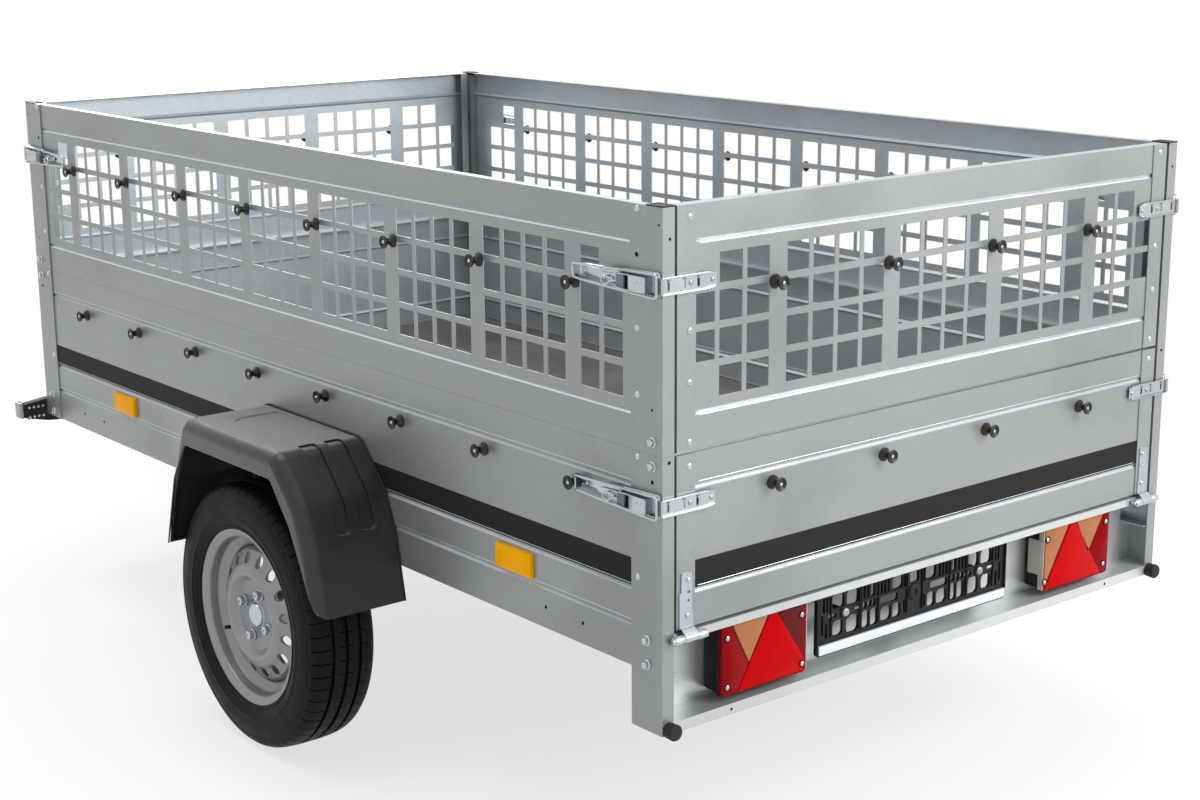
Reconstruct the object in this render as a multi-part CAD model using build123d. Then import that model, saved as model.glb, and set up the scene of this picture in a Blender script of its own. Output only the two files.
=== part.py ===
from build123d import *
import os
from math import cos, hypot, pi, sin, sqrt

# Single-axle box trailer with a mesh extension, parked on its jockey wheel.
# Millimetres. +X to the right, +Y towards the coupling, +Z up, the ground at z = 0.
# Pieces are modelled with y = 0 at the rear face of the corner posts. export() moves
# them so that y = 0 is the middle of the whole length.

# ---- body ----
BODY_WIDTH = 1316.0        # over the corner posts
BODY_LENGTH = 2352.0       # over the corner posts
TYRE_RADIUS = 272.0
BEAM_RISE = 90.0           # axle beam above the wheel centre
BEAM_SIZE = 60.0
BRACKET_HEIGHT = 31.0      # axle bracket, from beam to rail
RAIL_HEIGHT = 70.5         # rail under the deck
POST_DROP = 102.0          # rear posts below the rail
BOARD_HEIGHT = 302.5       # side boards above the deck
MESH_HEIGHT = 400.0        # mesh extension
SHEET = 2.0                # sheet of boards and gates
FIT = 0.3                  # gap between pieces that seat on each other

# ---- corner posts: a folded box with a wide side flange ----
POST_SHEET = 3.0
POST_FACE = 25.0           # across the rear or front face
POST_DEPTH = 36.0          # depth of the box
POST_FLANGE = 78.0         # along the side
TONGUE_LENGTH = 60.0       # splice of the extension inside the lower post
TONGUE_WIDTH = 24.0
CAP_THICKNESS = 2.5
CAP_OVERHANG = 1.5

# ---- boards, with pressed grooves ----
GROOVE_DEPTH = 4.0
GROOVE_HALF = 4.5
BOARD_GROOVES = (2.5, 65.0, 242.0)    # above the deck
GATE_GROOVES = (65.0, 242.0)          # above the deck
MESH_GROOVES = (62.0, 341.0)          # above the board top
BOARD_FLANGE = 30.0
TOP_FLANGE = 18.0

# ---- floor and cross rails ----
FLOOR_THICKNESS = 12.0
CROSS_WIDTH = 40.0
CROSS_SHEET = 3.0
CROSS_PLACES = (0.180, 0.375, 0.595, 0.780, 0.965)    # in body lengths

# ---- rear crossmember, a folded channel open to the rear ----
CHANNEL_DEPTH = 62.0
CHANNEL_SHEET = 2.5
UPPER_LIP = 14.0
SHELF_RISE = 17.0          # shelf above the post feet

# ---- mesh windows ----
WINDOW = 50.0
BAR = 10.0
WIDE_BAR = 40.0
ROW_BAR = 11.8
ROWS = 4
FIRST_ROW = 82.5           # above the board top
GROUP = 4                  # windows between two wide bars
SIDE_BARS = 8
END_BARS = 4

# ---- gates between the posts ----
GATE_GAP = 6.0             # post to gate, each side
GATE_LIFT = 5.0            # open line under the gate and under the mesh gate
GATE_INSET = 3.0
GATE_DEPTH = 25.0
TOP_SLOPE = 4.5            # fall of the tailgate's top flange
END_STRIP = 40.0

# ---- gate hinge ----
HINGE_BACK = 10.0          # pin behind the rear face
HINGE_BELOW = 7.5          # pin below the deck
PIN_RADIUS = 4.0
PIN_CLEARANCE = 0.05
BARREL_RADIUS = 8.0
KNUCKLE = 21.0             # length of each outer knuckle
STRAP_WIDTH = 28.0
STRAP_HEIGHT = 96.0
STRAP_SHEET = 2.0

# ---- latches and rope hooks ----
LATCH_REACH = 208.0        # from the post edge to the end of the lever
LATCH_WIDTH = 44.0         # at the post's corner
LATCH_NARROW = 26.0        # at the far end
LATCH_BAR = 5.5
LATCH_HEIGHTS = (397.0 - 172.5, 757.0 - 172.5)    # above the deck, lower and upper
KEEPER_HEIGHT = 30.0
KEEPER_REACH = 109.0
KEEPER_GAP = 0.8           # keeper to post face
HOOK_RADIUS = 12.5
HOOK_NECK = 6.0
HOOK_REACH = 24.0
HOOK_HEIGHT = 218.0        # lower hooks above the deck
MESH_HOOK_HEIGHT = 256.0   # mesh hooks above the board top
HOOK_PITCH = 267.0
HOOK_SHIFT = 8.0           # mesh hooks behind the middle of their bars

# ---- running gear ----
AXLE_Y = 1079.0
TYRE_WIDTH = 152.0
TYRE_OUT = 25.0            # post face to the inner side of the tyre
SEAT_RADIUS = 165.0        # bead seat of the rim
RIM_LIP = 17.5
RIM_WIDTH = 132.0
RIM_SHEET = 3.0
RIM_OFFSET = 42.0          # mounting face outside the wheel centre
VENT_COUNT = 16
WELL_DEPTH = 22.0          # drop centre below the bead seat
DISC_SHEET = 3.5
DISC_PROFILE = (           # out from the mounting face in mm, and the share of the well radius
    (0.0, 0.225), (0.0, 0.490), (-14.0, 0.590), (-17.0, 0.645), (-10.0, 0.735), (4.0, 0.915),
)
VENT_RING = 0.825          # share of the well radius
VENT_RADIUS = 0.077
ARM_LENGTH = 150.0         # swing arm, beam to wheel centre
ARM_THICKNESS = 22.0
ARM_RADIUS = 34.0
STUB_RADIUS = 17.5
HUB_RADIUS = 50.0
STUB_BACK = 16.0           # end of the stub behind the mounting face
CAP_RISE = 9.0             # grease cap ahead of it
FENDER_WIDTH = 195.0
FENDER_SKIN = 3.5

# ---- drawbar, coupling and jockey wheel ----
DRAWBAR_SIZE = 70.0
DRAWBAR_WALL = 4.0
DRAWBAR_START = 1300.0
DRAWBAR_REACH = 780.0      # ahead of the body
COUPLING_LENGTH = 240.0
COUPLING_SLEEVE = 90.0
BALL_RADIUS = 25.0
JOCKEY_REACH = 560.0       # ahead of the body
JOCKEY_TUBE = 24.0         # outer radius
JOCKEY_WALL = 3.0
JOCKEY_TOP = 700.0
JOCKEY_WHEEL = 100.0       # radius
JOCKEY_WHEEL_WIDTH = 50.0
JOCKEY_TRAIL = 28.0
JOCKEY_TRAVEL = 100.0      # upwards, from where it stands

# ---- places worked out from the sizes ----
LEFT = -BODY_WIDTH / 2
PANEL_X = LEFT + POST_SHEET
BEAM_Z = TYRE_RADIUS + BEAM_RISE
RAIL_Z = BEAM_Z + BEAM_SIZE / 2 + BRACKET_HEIGHT
DECK_Z = RAIL_Z + RAIL_HEIGHT
FOOT_Z = RAIL_Z - POST_DROP
SHELF_Z = FOOT_Z + SHELF_RISE
BOARD_TOP = DECK_Z + BOARD_HEIGHT
MESH_TOP = BOARD_TOP + MESH_HEIGHT
RIDGE = GROOVE_DEPTH + 1.35 * SHEET    # a groove's reach on the inside of its sheet
GATE_HALF = BODY_WIDTH / 2 - POST_FACE - GATE_GAP
GATE_LOW = DECK_Z + GATE_LIFT
GATE_HIGH = BOARD_TOP - GATE_LIFT / 2
MESH_GATE_LOW = GATE_HIGH + GATE_LIFT
FRONT_MESH_LOW = BOARD_TOP + FIT
HINGE_Z = DECK_Z - HINGE_BELOW
HINGE_X = GATE_HALF - END_STRIP / 2
BEAM_Y = AXLE_Y + sqrt(ARM_LENGTH ** 2 - BEAM_RISE ** 2)
WHEEL_X = LEFT - TYRE_OUT - TYRE_WIDTH / 2
DRAWBAR_TOP = RAIL_Z + SHEET
DRAWBAR_Z = DRAWBAR_TOP - DRAWBAR_SIZE / 2
DRAWBAR_END = BODY_LENGTH + DRAWBAR_REACH
COUPLING_TIP = DRAWBAR_END - COUPLING_SLEEVE + COUPLING_LENGTH
JOCKEY_X = DRAWBAR_SIZE / 2 + 14.0 + JOCKEY_TUBE
JOCKEY_Y = BODY_LENGTH + JOCKEY_REACH
BAR_PITCH = GROUP * WINDOW + (GROUP - 1) * BAR + WIDE_BAR
HOOK_BACK = HOOK_REACH - GATE_INSET    # rearmost point of the trailer
MIDDLE_Y = (COUPLING_TIP - HOOK_BACK) / 2


def export(shape, node):
    """Write one node, moved into the frame of the whole trailer."""
    export_step(Pos(0, -MIDDLE_Y, 0) * shape, f"parts/{node}.step")


def block(x0, x1, y0, y1, z0, z1):
    return Pos((x0 + x1) / 2, (y0 + y1) / 2, (z0 + z1) / 2) * Box(x1 - x0, y1 - y0, z1 - z0)


def outline(points, plane, start):
    place = {
        "yz": lambda a, b: (start, a, b),
        "xz": lambda a, b: (a, start, b),
        "xy": lambda a, b: (a, b, start),
    }[plane]
    return make_face(Polyline(*[place(a, b) for a, b in points], close=True))


def prism(points, plane, start, end):
    """Extrude an outline drawn in the yz, xz or xy plane from start to end."""
    way = {"yz": (1, 0, 0), "xz": (0, 1, 0), "xy": (0, 0, 1)}[plane]
    return extrude(outline(points, plane, start), amount=end - start, dir=way)


def rod(radius, start, end):
    """A round bar between two points."""
    a, b = Vector(*start), Vector(*end)
    return extrude(Plane(a, z_dir=b - a) * Circle(radius), amount=(b - a).length)


def turned(points, centre, axis):
    """Revolve an outline of (distance along the axis, radius) points about an x, y or z axis."""
    way, side = {
        "x": ((1, 0, 0), (0, 0, 1)),
        "y": ((0, 1, 0), (0, 0, 1)),
        "z": ((0, 0, 1), (1, 0, 0)),
    }[axis]
    centre, way, side = Vector(*centre), Vector(*way), Vector(*side)
    face = make_face(Polyline(*[centre + way * a + side * r for a, r in points], close=True))
    return revolve(face, Axis(centre, way), 360)


def folded(path, thickness):
    """Outline of a folded sheet: the path, and the same path offset to its right."""
    normals = []
    for (a, b), (c, d) in zip(path, path[1:]):
        length = hypot(c - a, d - b)
        normals.append(((d - b) / length, (a - c) / length))
    inner = []
    for i, (a, b) in enumerate(path):
        ax, ay = normals[max(i - 1, 0)]
        bx, by = normals[min(i, len(normals) - 1)]
        reach = thickness / (1 + ax * bx + ay * by)
        inner.append((a + reach * (ax + bx), b + reach * (ay + by)))
    return path + inner[::-1]


def pressed(low, high, grooves):
    """The line of an upright sheet, (depth, height), with its pressed grooves."""
    path = [(0.0, low)]
    for z in grooves:
        path += [(0.0, z - GROOVE_HALF), (GROOVE_DEPTH, z), (0.0, z + GROOVE_HALF)]
    return path + [(0.0, high)]


def both_sides(left):
    """The left piece and its mirror image."""
    return left, mirror(left, about=Plane.YZ)


# ---- corner posts ----

def post_section(flip):
    """Box with a side flange, (x, y), at a left corner. flip turns it to the front."""
    path = [
        (POST_SHEET + FIT, POST_DEPTH), (POST_FACE, POST_DEPTH), (POST_FACE, 0.0),
        (0.0, 0.0), (0.0, POST_FLANGE),
    ]
    return [(LEFT + a, BODY_LENGTH - b if flip else b) for a, b in folded(path, POST_SHEET)]


def foot_section():
    path = [(POST_FACE, 0.0), (0.0, 0.0), (0.0, POST_FLANGE)]
    return [(LEFT + a, b) for a, b in folded(path, POST_SHEET)]


def rear_post():
    upper = prism(post_section(False), "xy", DECK_Z, BOARD_TOP)
    foot = prism(foot_section(), "xy", FOOT_Z, DECK_Z)
    return upper + foot


def front_post():
    return prism(post_section(True), "xy", RAIL_Z, BOARD_TOP)


def extension_post(flip):
    """Upper post with a tongue that is bolted inside the lower post."""
    post = prism(post_section(flip), "xy", BOARD_TOP + FIT, MESH_TOP)
    y0 = POST_SHEET + 4.0
    y1 = y0 + TONGUE_WIDTH
    if flip:
        y0, y1 = BODY_LENGTH - y1, BODY_LENGTH - y0
    x0 = LEFT + POST_SHEET
    tongue = block(x0, x0 + POST_SHEET, y0, y1, BOARD_TOP - TONGUE_LENGTH, BOARD_TOP + TONGUE_LENGTH)
    return post + tongue


def post_cap(flip):
    x0 = LEFT - CAP_OVERHANG
    x1 = LEFT + POST_FACE + CAP_OVERHANG
    y0 = -CAP_OVERHANG
    y1 = POST_DEPTH + CAP_OVERHANG
    if flip:
        y0, y1 = BODY_LENGTH - y1, BODY_LENGTH - y0
    return block(x0, x1, y0, y1, MESH_TOP, MESH_TOP + CAP_THICKNESS)


# ---- boards ----

def above_deck(heights):
    return [DECK_Z + h for h in heights]


def side_board():
    """Side board and rail in one folded sheet, tucked behind the post flanges."""
    path = [(BOARD_FLANGE, RAIL_Z)]
    path += pressed(RAIL_Z, BOARD_TOP, above_deck(BOARD_GROOVES))
    path += [(TOP_FLANGE, BOARD_TOP)]
    section = [(PANEL_X + a, b) for a, b in folded(path, SHEET)]
    start = POST_DEPTH + FIT
    board = prism(section, "xz", start, BODY_LENGTH - start)
    rail = [(BOARD_FLANGE, RAIL_Z), (0.0, RAIL_Z), (0.0, DECK_Z - GROOVE_HALF)]
    rail_section = [(PANEL_X + a, b) for a, b in folded(rail, SHEET)]
    return board + prism(rail_section, "xz", POST_SHEET + FIT, start)


def front_board():
    low = RAIL_Z + SHEET
    path = [(BOARD_FLANGE, low)] + pressed(low, BOARD_TOP, above_deck(BOARD_GROOVES))
    path += [(TOP_FLANGE, BOARD_TOP)]
    section = [(BODY_LENGTH - POST_SHEET - a, b) for a, b in folded(path, SHEET)]
    half = BODY_WIDTH / 2 - POST_FACE
    return prism(section, "yz", -half, half)


def windows(bars, reach, outer_rows):
    """Centres (along, up) of the mesh windows. The last column each side has fewer rows."""
    first_bar = -(bars - 1) / 2 * BAR_PITCH
    columns = []
    for k in range(-1, bars):
        for j in range(GROUP):
            along = first_bar + k * BAR_PITCH + (WIDE_BAR + WINDOW) / 2 + j * (WINDOW + BAR)
            if abs(along) < reach:
                columns.append(along)
    last = max(columns) - 1.0
    places = []
    for along in columns:
        for row in outer_rows if abs(along) > last else range(ROWS):
            places.append((along, BOARD_TOP + FIRST_ROW + row * (WINDOW + ROW_BAR)))
    return places


def mesh_section(low):
    grooves = [BOARD_TOP + h for h in MESH_GROOVES]
    path = [(TOP_FLANGE, low)] + pressed(low, MESH_TOP, grooves) + [(TOP_FLANGE, MESH_TOP)]
    return folded(path, SHEET)


def mesh_side():
    section = [(PANEL_X + a, b) for a, b in mesh_section(BOARD_TOP + FIT)]
    start = POST_DEPTH + FIT
    panel = prism(section, "xz", start, BODY_LENGTH - start)
    reach = BODY_LENGTH / 2 - POST_FLANGE
    holes = [
        block(
            PANEL_X - SHEET, PANEL_X + 2 * SHEET,
            BODY_LENGTH / 2 + along - WINDOW / 2, BODY_LENGTH / 2 + along + WINDOW / 2,
            up, up + WINDOW,
        )
        for along, up in windows(SIDE_BARS, reach, range(ROWS - 1))
    ]
    return panel.cut(*holes)


# ---- gates ----

def gate_sheet(section):
    """A gate's sheet between its end channels, drawn at the rear."""
    half = GATE_HALF - SHEET
    return prism([(GATE_INSET + a, b) for a, b in section], "yz", -half, half)


def gate_ends(low, high):
    """The two channels that close a gate's ends."""
    inner = GATE_INSET + GATE_DEPTH + SHEET
    outer = GATE_INSET - SHEET
    path = [
        (-GATE_HALF + END_STRIP, outer), (-GATE_HALF, outer),
        (-GATE_HALF, inner), (-GATE_HALF + END_STRIP / 2, inner),
    ]
    return both_sides(prism(folded(path, SHEET), "xy", low, high))


def tailgate():
    """The top flange slopes down, so that the gate swings clear of the mesh gate."""
    path = [(GATE_DEPTH, GATE_LOW)] + pressed(GATE_LOW, GATE_HIGH, above_deck(GATE_GROOVES))
    path += [(GATE_DEPTH, GATE_HIGH - TOP_SLOPE)]
    return gate_sheet(folded(path, SHEET))


def tailgate_ends():
    inner = GATE_INSET + GATE_DEPTH + SHEET + 1
    half = GATE_HALF + 1
    slope = prism(
        [(GATE_INSET, GATE_HIGH), (inner, GATE_HIGH - TOP_SLOPE), (inner, GATE_HIGH + 1),
         (GATE_INSET, GATE_HIGH + 1)],
        "yz", -half, half,
    )
    return [end - slope for end in gate_ends(GATE_LOW, GATE_HIGH)]


def mesh_gate(low):
    grooves = [BOARD_TOP + h for h in MESH_GROOVES]
    path = [(GATE_DEPTH, low)] + pressed(low, MESH_TOP, grooves) + [(GATE_DEPTH, MESH_TOP)]
    panel = gate_sheet(folded(path, SHEET))
    holes = [
        block(
            along - WINDOW / 2, along + WINDOW / 2,
            GATE_INSET - SHEET / 2, GATE_INSET + 1.5 * SHEET, up, up + WINDOW,
        )
        for along, up in windows(END_BARS, GATE_HALF - END_STRIP, range(1, ROWS - 1))
    ]
    return panel.cut(*holes)


def to_front(shape):
    """Turn a piece drawn at the rear round to the front."""
    return mirror(shape, about=Plane((0, BODY_LENGTH / 2, 0), z_dir=(0, 1, 0)))


# ---- gate hinges ----

def hinge_leaf():
    """Strap on the gate's end channel, with the middle knuckle."""
    x0 = -HINGE_X - STRAP_WIDTH / 2
    x1 = -HINGE_X + STRAP_WIDTH / 2
    outer = GATE_INSET - SHEET
    strap = block(x0, x1, outer - STRAP_SHEET, outer, GATE_LOW, GATE_LOW + STRAP_HEIGHT)
    neck = block(x0, x1, -HINGE_BACK, outer - STRAP_SHEET, HINGE_Z, GATE_LOW + 2 * STRAP_SHEET)
    knuckle = rod(BARREL_RADIUS, (x0, -HINGE_BACK, HINGE_Z), (x1, -HINGE_BACK, HINGE_Z))
    hole = rod(PIN_RADIUS + PIN_CLEARANCE, (x0, -HINGE_BACK, HINGE_Z), (x1, -HINGE_BACK, HINGE_Z))
    return strap + neck + knuckle - hole


def hinge_seat():
    """Two outer knuckles and the pin, on a plate on the crossmember's upper lip."""
    gap = STRAP_WIDTH / 2 + FIT
    pieces = []
    for side in (-1, 1):
        a = -HINGE_X + side * gap
        b = a + side * KNUCKLE
        x0, x1 = min(a, b), max(a, b)
        pieces.append(rod(BARREL_RADIUS, (x0, -HINGE_BACK, HINGE_Z), (x1, -HINGE_BACK, HINGE_Z)))
        pieces.append(block(x0, x1, -HINGE_BACK, 0, HINGE_Z - BARREL_RADIUS, HINGE_Z - 2))
    reach = gap + KNUCKLE
    pin = rod(
        PIN_RADIUS,
        (-HINGE_X - reach, -HINGE_BACK, HINGE_Z), (-HINGE_X + reach, -HINGE_BACK, HINGE_Z),
    )
    return pieces[0] + pieces[1:] + pin


# ---- floor and cross rails ----

def floor_deck():
    half = BODY_WIDTH / 2 - POST_SHEET - RIDGE - FIT
    y1 = BODY_LENGTH - POST_SHEET - RIDGE - FIT
    top = DECK_Z + FLOOR_THICKNESS
    deck = block(-half, half, POST_DEPTH + FIT, y1, DECK_Z, top)
    inner = BODY_WIDTH / 2 - POST_FACE - FIT
    notch = block(inner, half + 1, BODY_LENGTH - POST_DEPTH - FIT, y1 + 1, DECK_Z - 1, top + 1)
    return deck - notch - mirror(notch, about=Plane.YZ)


def cross_rail(place):
    y = place * BODY_LENGTH
    low = RAIL_Z + SHEET
    path = [(y + CROSS_WIDTH, low), (y, low), (y, DECK_Z), (y + CROSS_WIDTH, DECK_Z)]
    half = BODY_WIDTH / 2 - POST_SHEET - RIDGE - FIT
    return prism(folded(path, CROSS_SHEET), "yz", -half, half)


def rear_crossmember():
    path = [
        (POST_SHEET, DECK_Z), (CHANNEL_DEPTH, DECK_Z),
        (CHANNEL_DEPTH, SHELF_Z), (POST_SHEET, SHELF_Z),
    ]
    half = BODY_WIDTH / 2 - POST_SHEET
    channel = prism(folded(path, CHANNEL_SHEET), "yz", -half, half)
    inside = half - BOARD_FLANGE - FIT
    notch = block(inside, half + 1, 0, CHANNEL_DEPTH + 1, RAIL_Z - FIT, DECK_Z + 1)
    channel = channel - notch - mirror(notch, about=Plane.YZ)
    upper = block(-inside, inside, 0, POST_SHEET, DECK_Z - UPPER_LIP, DECK_Z)
    between = BODY_WIDTH / 2 - POST_FACE
    lower = block(-between, between, 0, POST_SHEET, FOOT_Z, SHELF_Z + CHANNEL_SHEET)
    return channel + upper + lower


# ---- latches ----

def latch(z):
    """Over-centre latch on a rear-left post: a base on the flange and the frame of its lever."""
    x = LEFT
    base = block(x - 2, x, POST_DEPTH, POST_FLANGE, z - 13, z + 13)
    neck = block(x - 13, x - 2, 58, POST_FLANGE + 30, z - 9, z + 9)
    wide, narrow = LATCH_WIDTH / 2, LATCH_NARROW / 2
    outer = [(1.5, z - wide), (LATCH_REACH, z - narrow), (LATCH_REACH, z + narrow), (1.5, z + wide)]
    bar = LATCH_BAR
    inner = [
        (1.5 + bar, z - wide + bar), (LATCH_REACH - bar, z - narrow + bar),
        (LATCH_REACH - bar, z + narrow - bar), (1.5 + bar, z + wide - bar),
    ]
    frame = prism(outer, "yz", x - 12, x - 7) - prism(inner, "yz", x - 13, x - 6)
    cross = block(x - 10, x - 8, 88, 100, z - wide + bar / 2, z + wide - bar / 2)
    return base + neck + frame + cross


def keeper(z):
    """Catch plate on a gate's end channel, reaching over the post face to the corner."""
    outer = GATE_INSET - SHEET
    y0, y1 = -KEEPER_GAP - SHEET, -KEEPER_GAP
    x0, x1 = LEFT - 8, LEFT + KEEPER_REACH
    plate = block(x0, x1, y0, y1, z - KEEPER_HEIGHT / 2, z + KEEPER_HEIGHT / 2)
    curl = block(x0, x0 + 3, y0 - 5, y1, z - KEEPER_HEIGHT / 2, z + KEEPER_HEIGHT / 2)
    pad_x0 = -GATE_HALF + 4
    pad = block(pad_x0, pad_x0 + END_STRIP - 8, y1, outer, z - 10, z + 10)
    return plate + curl + pad


# ---- rope hooks ----

def hook(centre, way):
    """Flared knob standing out along -x (way 'x') or -y (way 'y')."""
    points = [
        (0, 0), (0, HOOK_RADIUS), (-2, HOOK_RADIUS), (-9, HOOK_NECK), (-15, HOOK_NECK),
        (-HOOK_REACH + 3, HOOK_RADIUS), (-HOOK_REACH, HOOK_RADIUS), (-HOOK_REACH, 0),
    ]
    return turned(points, centre, way)


def bar_places(bars):
    return [(k - (bars - 1) / 2) * BAR_PITCH for k in range(bars)]


def hook_places(bars):
    return [(k - (bars - 1) / 2) * HOOK_PITCH for k in range(bars)]


def side_hooks():
    z = DECK_Z + HOOK_HEIGHT
    return [
        hook((PANEL_X, BODY_LENGTH / 2 - 2.5 * HOOK_SHIFT + y, z), "x")
        for y in hook_places(SIDE_BARS)
    ]


def mesh_side_hooks():
    z = BOARD_TOP + MESH_HOOK_HEIGHT
    return [
        hook((PANEL_X, BODY_LENGTH / 2 - HOOK_SHIFT + y, z), "x") for y in bar_places(SIDE_BARS)
    ]


def gate_hooks(z):
    return [hook((x - HOOK_SHIFT, GATE_INSET, z), "y") for x in bar_places(END_BARS)]


# ---- fenders ----

FENDER_OUTLINE = (          # along, up and corner radius, in tyre radii
    (1.018, 0.357, 0.000), (0.893, 0.879, 0.221), (0.691, 1.393, 0.125),
    (-0.684, 1.393, 0.147), (-0.971, 1.081, 0.184), (-1.096, 0.787, 0.221),
    (-1.191, 0.309, 0.000),
)
FENDER_LIP = (          # opening in the walls, the same way
    (0.963, 0.221, 0.000), (0.978, 0.357, 0.000), (0.816, 0.912, 0.147),
    (0.621, 1.206, 0.044), (-0.618, 1.210, 0.051), (-0.857, 0.919, 0.147),
    (-1.000, 0.640, 0.147), (-1.154, 0.309, 0.000), (-1.154, 0.221, 0.000),
)
FENDER_EDGE = 26.0          # rounding of the outer edge


def about_wheel(points, x):
    """A face in the plane of the wheel, with its corners rounded."""
    points = [[TYRE_RADIUS * value for value in point] for point in points]
    face = outline([(AXLE_Y + a, TYRE_RADIUS + b) for a, b, _ in points], "yz", x)
    for a, b, radius in points:
        if radius > 0:
            spot = Vector(x, AXLE_Y + a, TYRE_RADIUS + b)
            corner = min(face.vertices(), key=lambda v: (Vector(v) - spot).length)
            face = fillet(corner, radius)
    return face


def fender_body(x0, x1, shrink):
    """Solid with the outline of the fender, rounded at its outer edge."""
    face = about_wheel(FENDER_OUTLINE, x0)
    if shrink:
        face = offset(face, amount=-shrink, kind=Kind.INTERSECTION)
    low = min(v.Z for v in face.vertices()) + 1.0
    body = extrude(face, amount=x1 - x0, dir=(1, 0, 0))
    edges = [
        e for e in body.edges()
        if abs(e.bounding_box().max.X - x0) < 0.01 and e.bounding_box().max.Z > low + 20
    ]
    return fillet(edges, FENDER_EDGE - shrink)


def fender():
    x0 = LEFT - FENDER_WIDTH
    x1 = PANEL_X - FIT
    shell = fender_body(x0, x1, 0.0)
    cavity = fender_body(x0 + FENDER_SKIN, x1 - FENDER_SKIN, FENDER_SKIN)
    arch = extrude(about_wheel(FENDER_LIP, x0 - 1), amount=x1 - x0 + 2, dir=(1, 0, 0))
    return shell - cavity - arch


# ---- lamps, plate holder, buffers, reflectors ----

LAMP_X = 420.0              # centre, from the middle
LAMP_WIDTH = 201.0
LAMP_LOW = 12.0             # above the shelf
LAMP_HEIGHT = 138.0
LAMP_FACE = 8.0             # lens behind the rear face
LENS_DEPTH = 14.0
PLATE_X = -43.0
PLATE_WIDTH = 503.0
PLATE_HEIGHT = 120.0
PLATE_LOW = 29.0            # above the shelf
PLATE_DEPTH = 12.0


def lamp_body():
    z0 = SHELF_Z + LAMP_LOW
    y1 = CHANNEL_DEPTH - CHANNEL_SHEET
    return block(
        -LAMP_X - LAMP_WIDTH / 2, -LAMP_X + LAMP_WIDTH / 2,
        LAMP_FACE + LENS_DEPTH, y1, z0, z0 + LAMP_HEIGHT,
    )


def lamp_lens():
    z0 = SHELF_Z + LAMP_LOW
    return block(
        -LAMP_X - LAMP_WIDTH / 2, -LAMP_X + LAMP_WIDTH / 2,
        LAMP_FACE, LAMP_FACE + LENS_DEPTH, z0, z0 + LAMP_HEIGHT,
    )


def plate_holder():
    x0 = PLATE_X - PLATE_WIDTH / 2
    z0 = SHELF_Z + PLATE_LOW
    plate = block(x0, x0 + PLATE_WIDTH, LAMP_FACE, LAMP_FACE + PLATE_DEPTH, z0, z0 + PLATE_HEIGHT)
    y1 = CHANNEL_DEPTH - CHANNEL_SHEET
    for x in (-178.0, 178.0):
        bottom = (PLATE_X + x, LAMP_FACE + PLATE_DEPTH / 2, z0 + 73)
        plate += rod(10, bottom, (PLATE_X + x, y1, z0 + 73))
    return plate


BUFFER_RADIUS = 11.0
BUFFER_LENGTH = 15.0


def buffer():
    x, z = LEFT + POST_FACE / 2, FOOT_Z + BUFFER_RADIUS
    return rod(BUFFER_RADIUS, (x, 0, z), (x, -BUFFER_LENGTH, z))


REFLECTOR_PLACES = (400.0, 1910.0)
REFLECTOR_LENGTH = 104.0
REFLECTOR_HEIGHT = 45.0
REFLECTOR_DEPTH = 8.0


def side_reflectors():
    z = DECK_Z + 34.0
    return [
        block(
            PANEL_X - REFLECTOR_DEPTH, PANEL_X, y - REFLECTOR_LENGTH / 2, y + REFLECTOR_LENGTH / 2,
            z - REFLECTOR_HEIGHT / 2, z + REFLECTOR_HEIGHT / 2,
        )
        for y in REFLECTOR_PLACES
    ]


MARKER_OUT = 63.0
MARKER_DEPTH = 25.0


def marker_arm():
    points = [(LEFT + 48, FOOT_Z + 79), (LEFT - MARKER_OUT, FOOT_Z + 99),
              (LEFT - MARKER_OUT, FOOT_Z + 132), (LEFT + 48, FOOT_Z + 143)]
    return prism(points, "xz", BODY_LENGTH, BODY_LENGTH + MARKER_DEPTH)


def marker_lens():
    x = LEFT - MARKER_OUT
    return block(x - 10, x, BODY_LENGTH, BODY_LENGTH + MARKER_DEPTH + 4, FOOT_Z + 98, FOOT_Z + 138)


# ---- axle and wheels ----

def axle_beam():
    half = -LEFT - 4
    beam = block(
        -half, half, BEAM_Y - BEAM_SIZE / 2, BEAM_Y + BEAM_SIZE / 2,
        BEAM_Z - BEAM_SIZE / 2, BEAM_Z + BEAM_SIZE / 2,
    )
    beam -= block(
        -half - 1, half + 1, BEAM_Y - BEAM_SIZE / 2 + 5, BEAM_Y + BEAM_SIZE / 2 - 5,
        BEAM_Z - BEAM_SIZE / 2 + 5, BEAM_Z + BEAM_SIZE / 2 - 5,
    )
    top = BEAM_Z + BEAM_SIZE / 2
    bracket = prism(
        [(BEAM_Y - 35, top), (BEAM_Y + 35, top), (BEAM_Y + 60, RAIL_Z), (BEAM_Y - 60, RAIL_Z)],
        "yz", PANEL_X + SHEET, PANEL_X + BOARD_FLANGE,
    )
    return beam + bracket + mirror(bracket, about=Plane.YZ)


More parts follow.
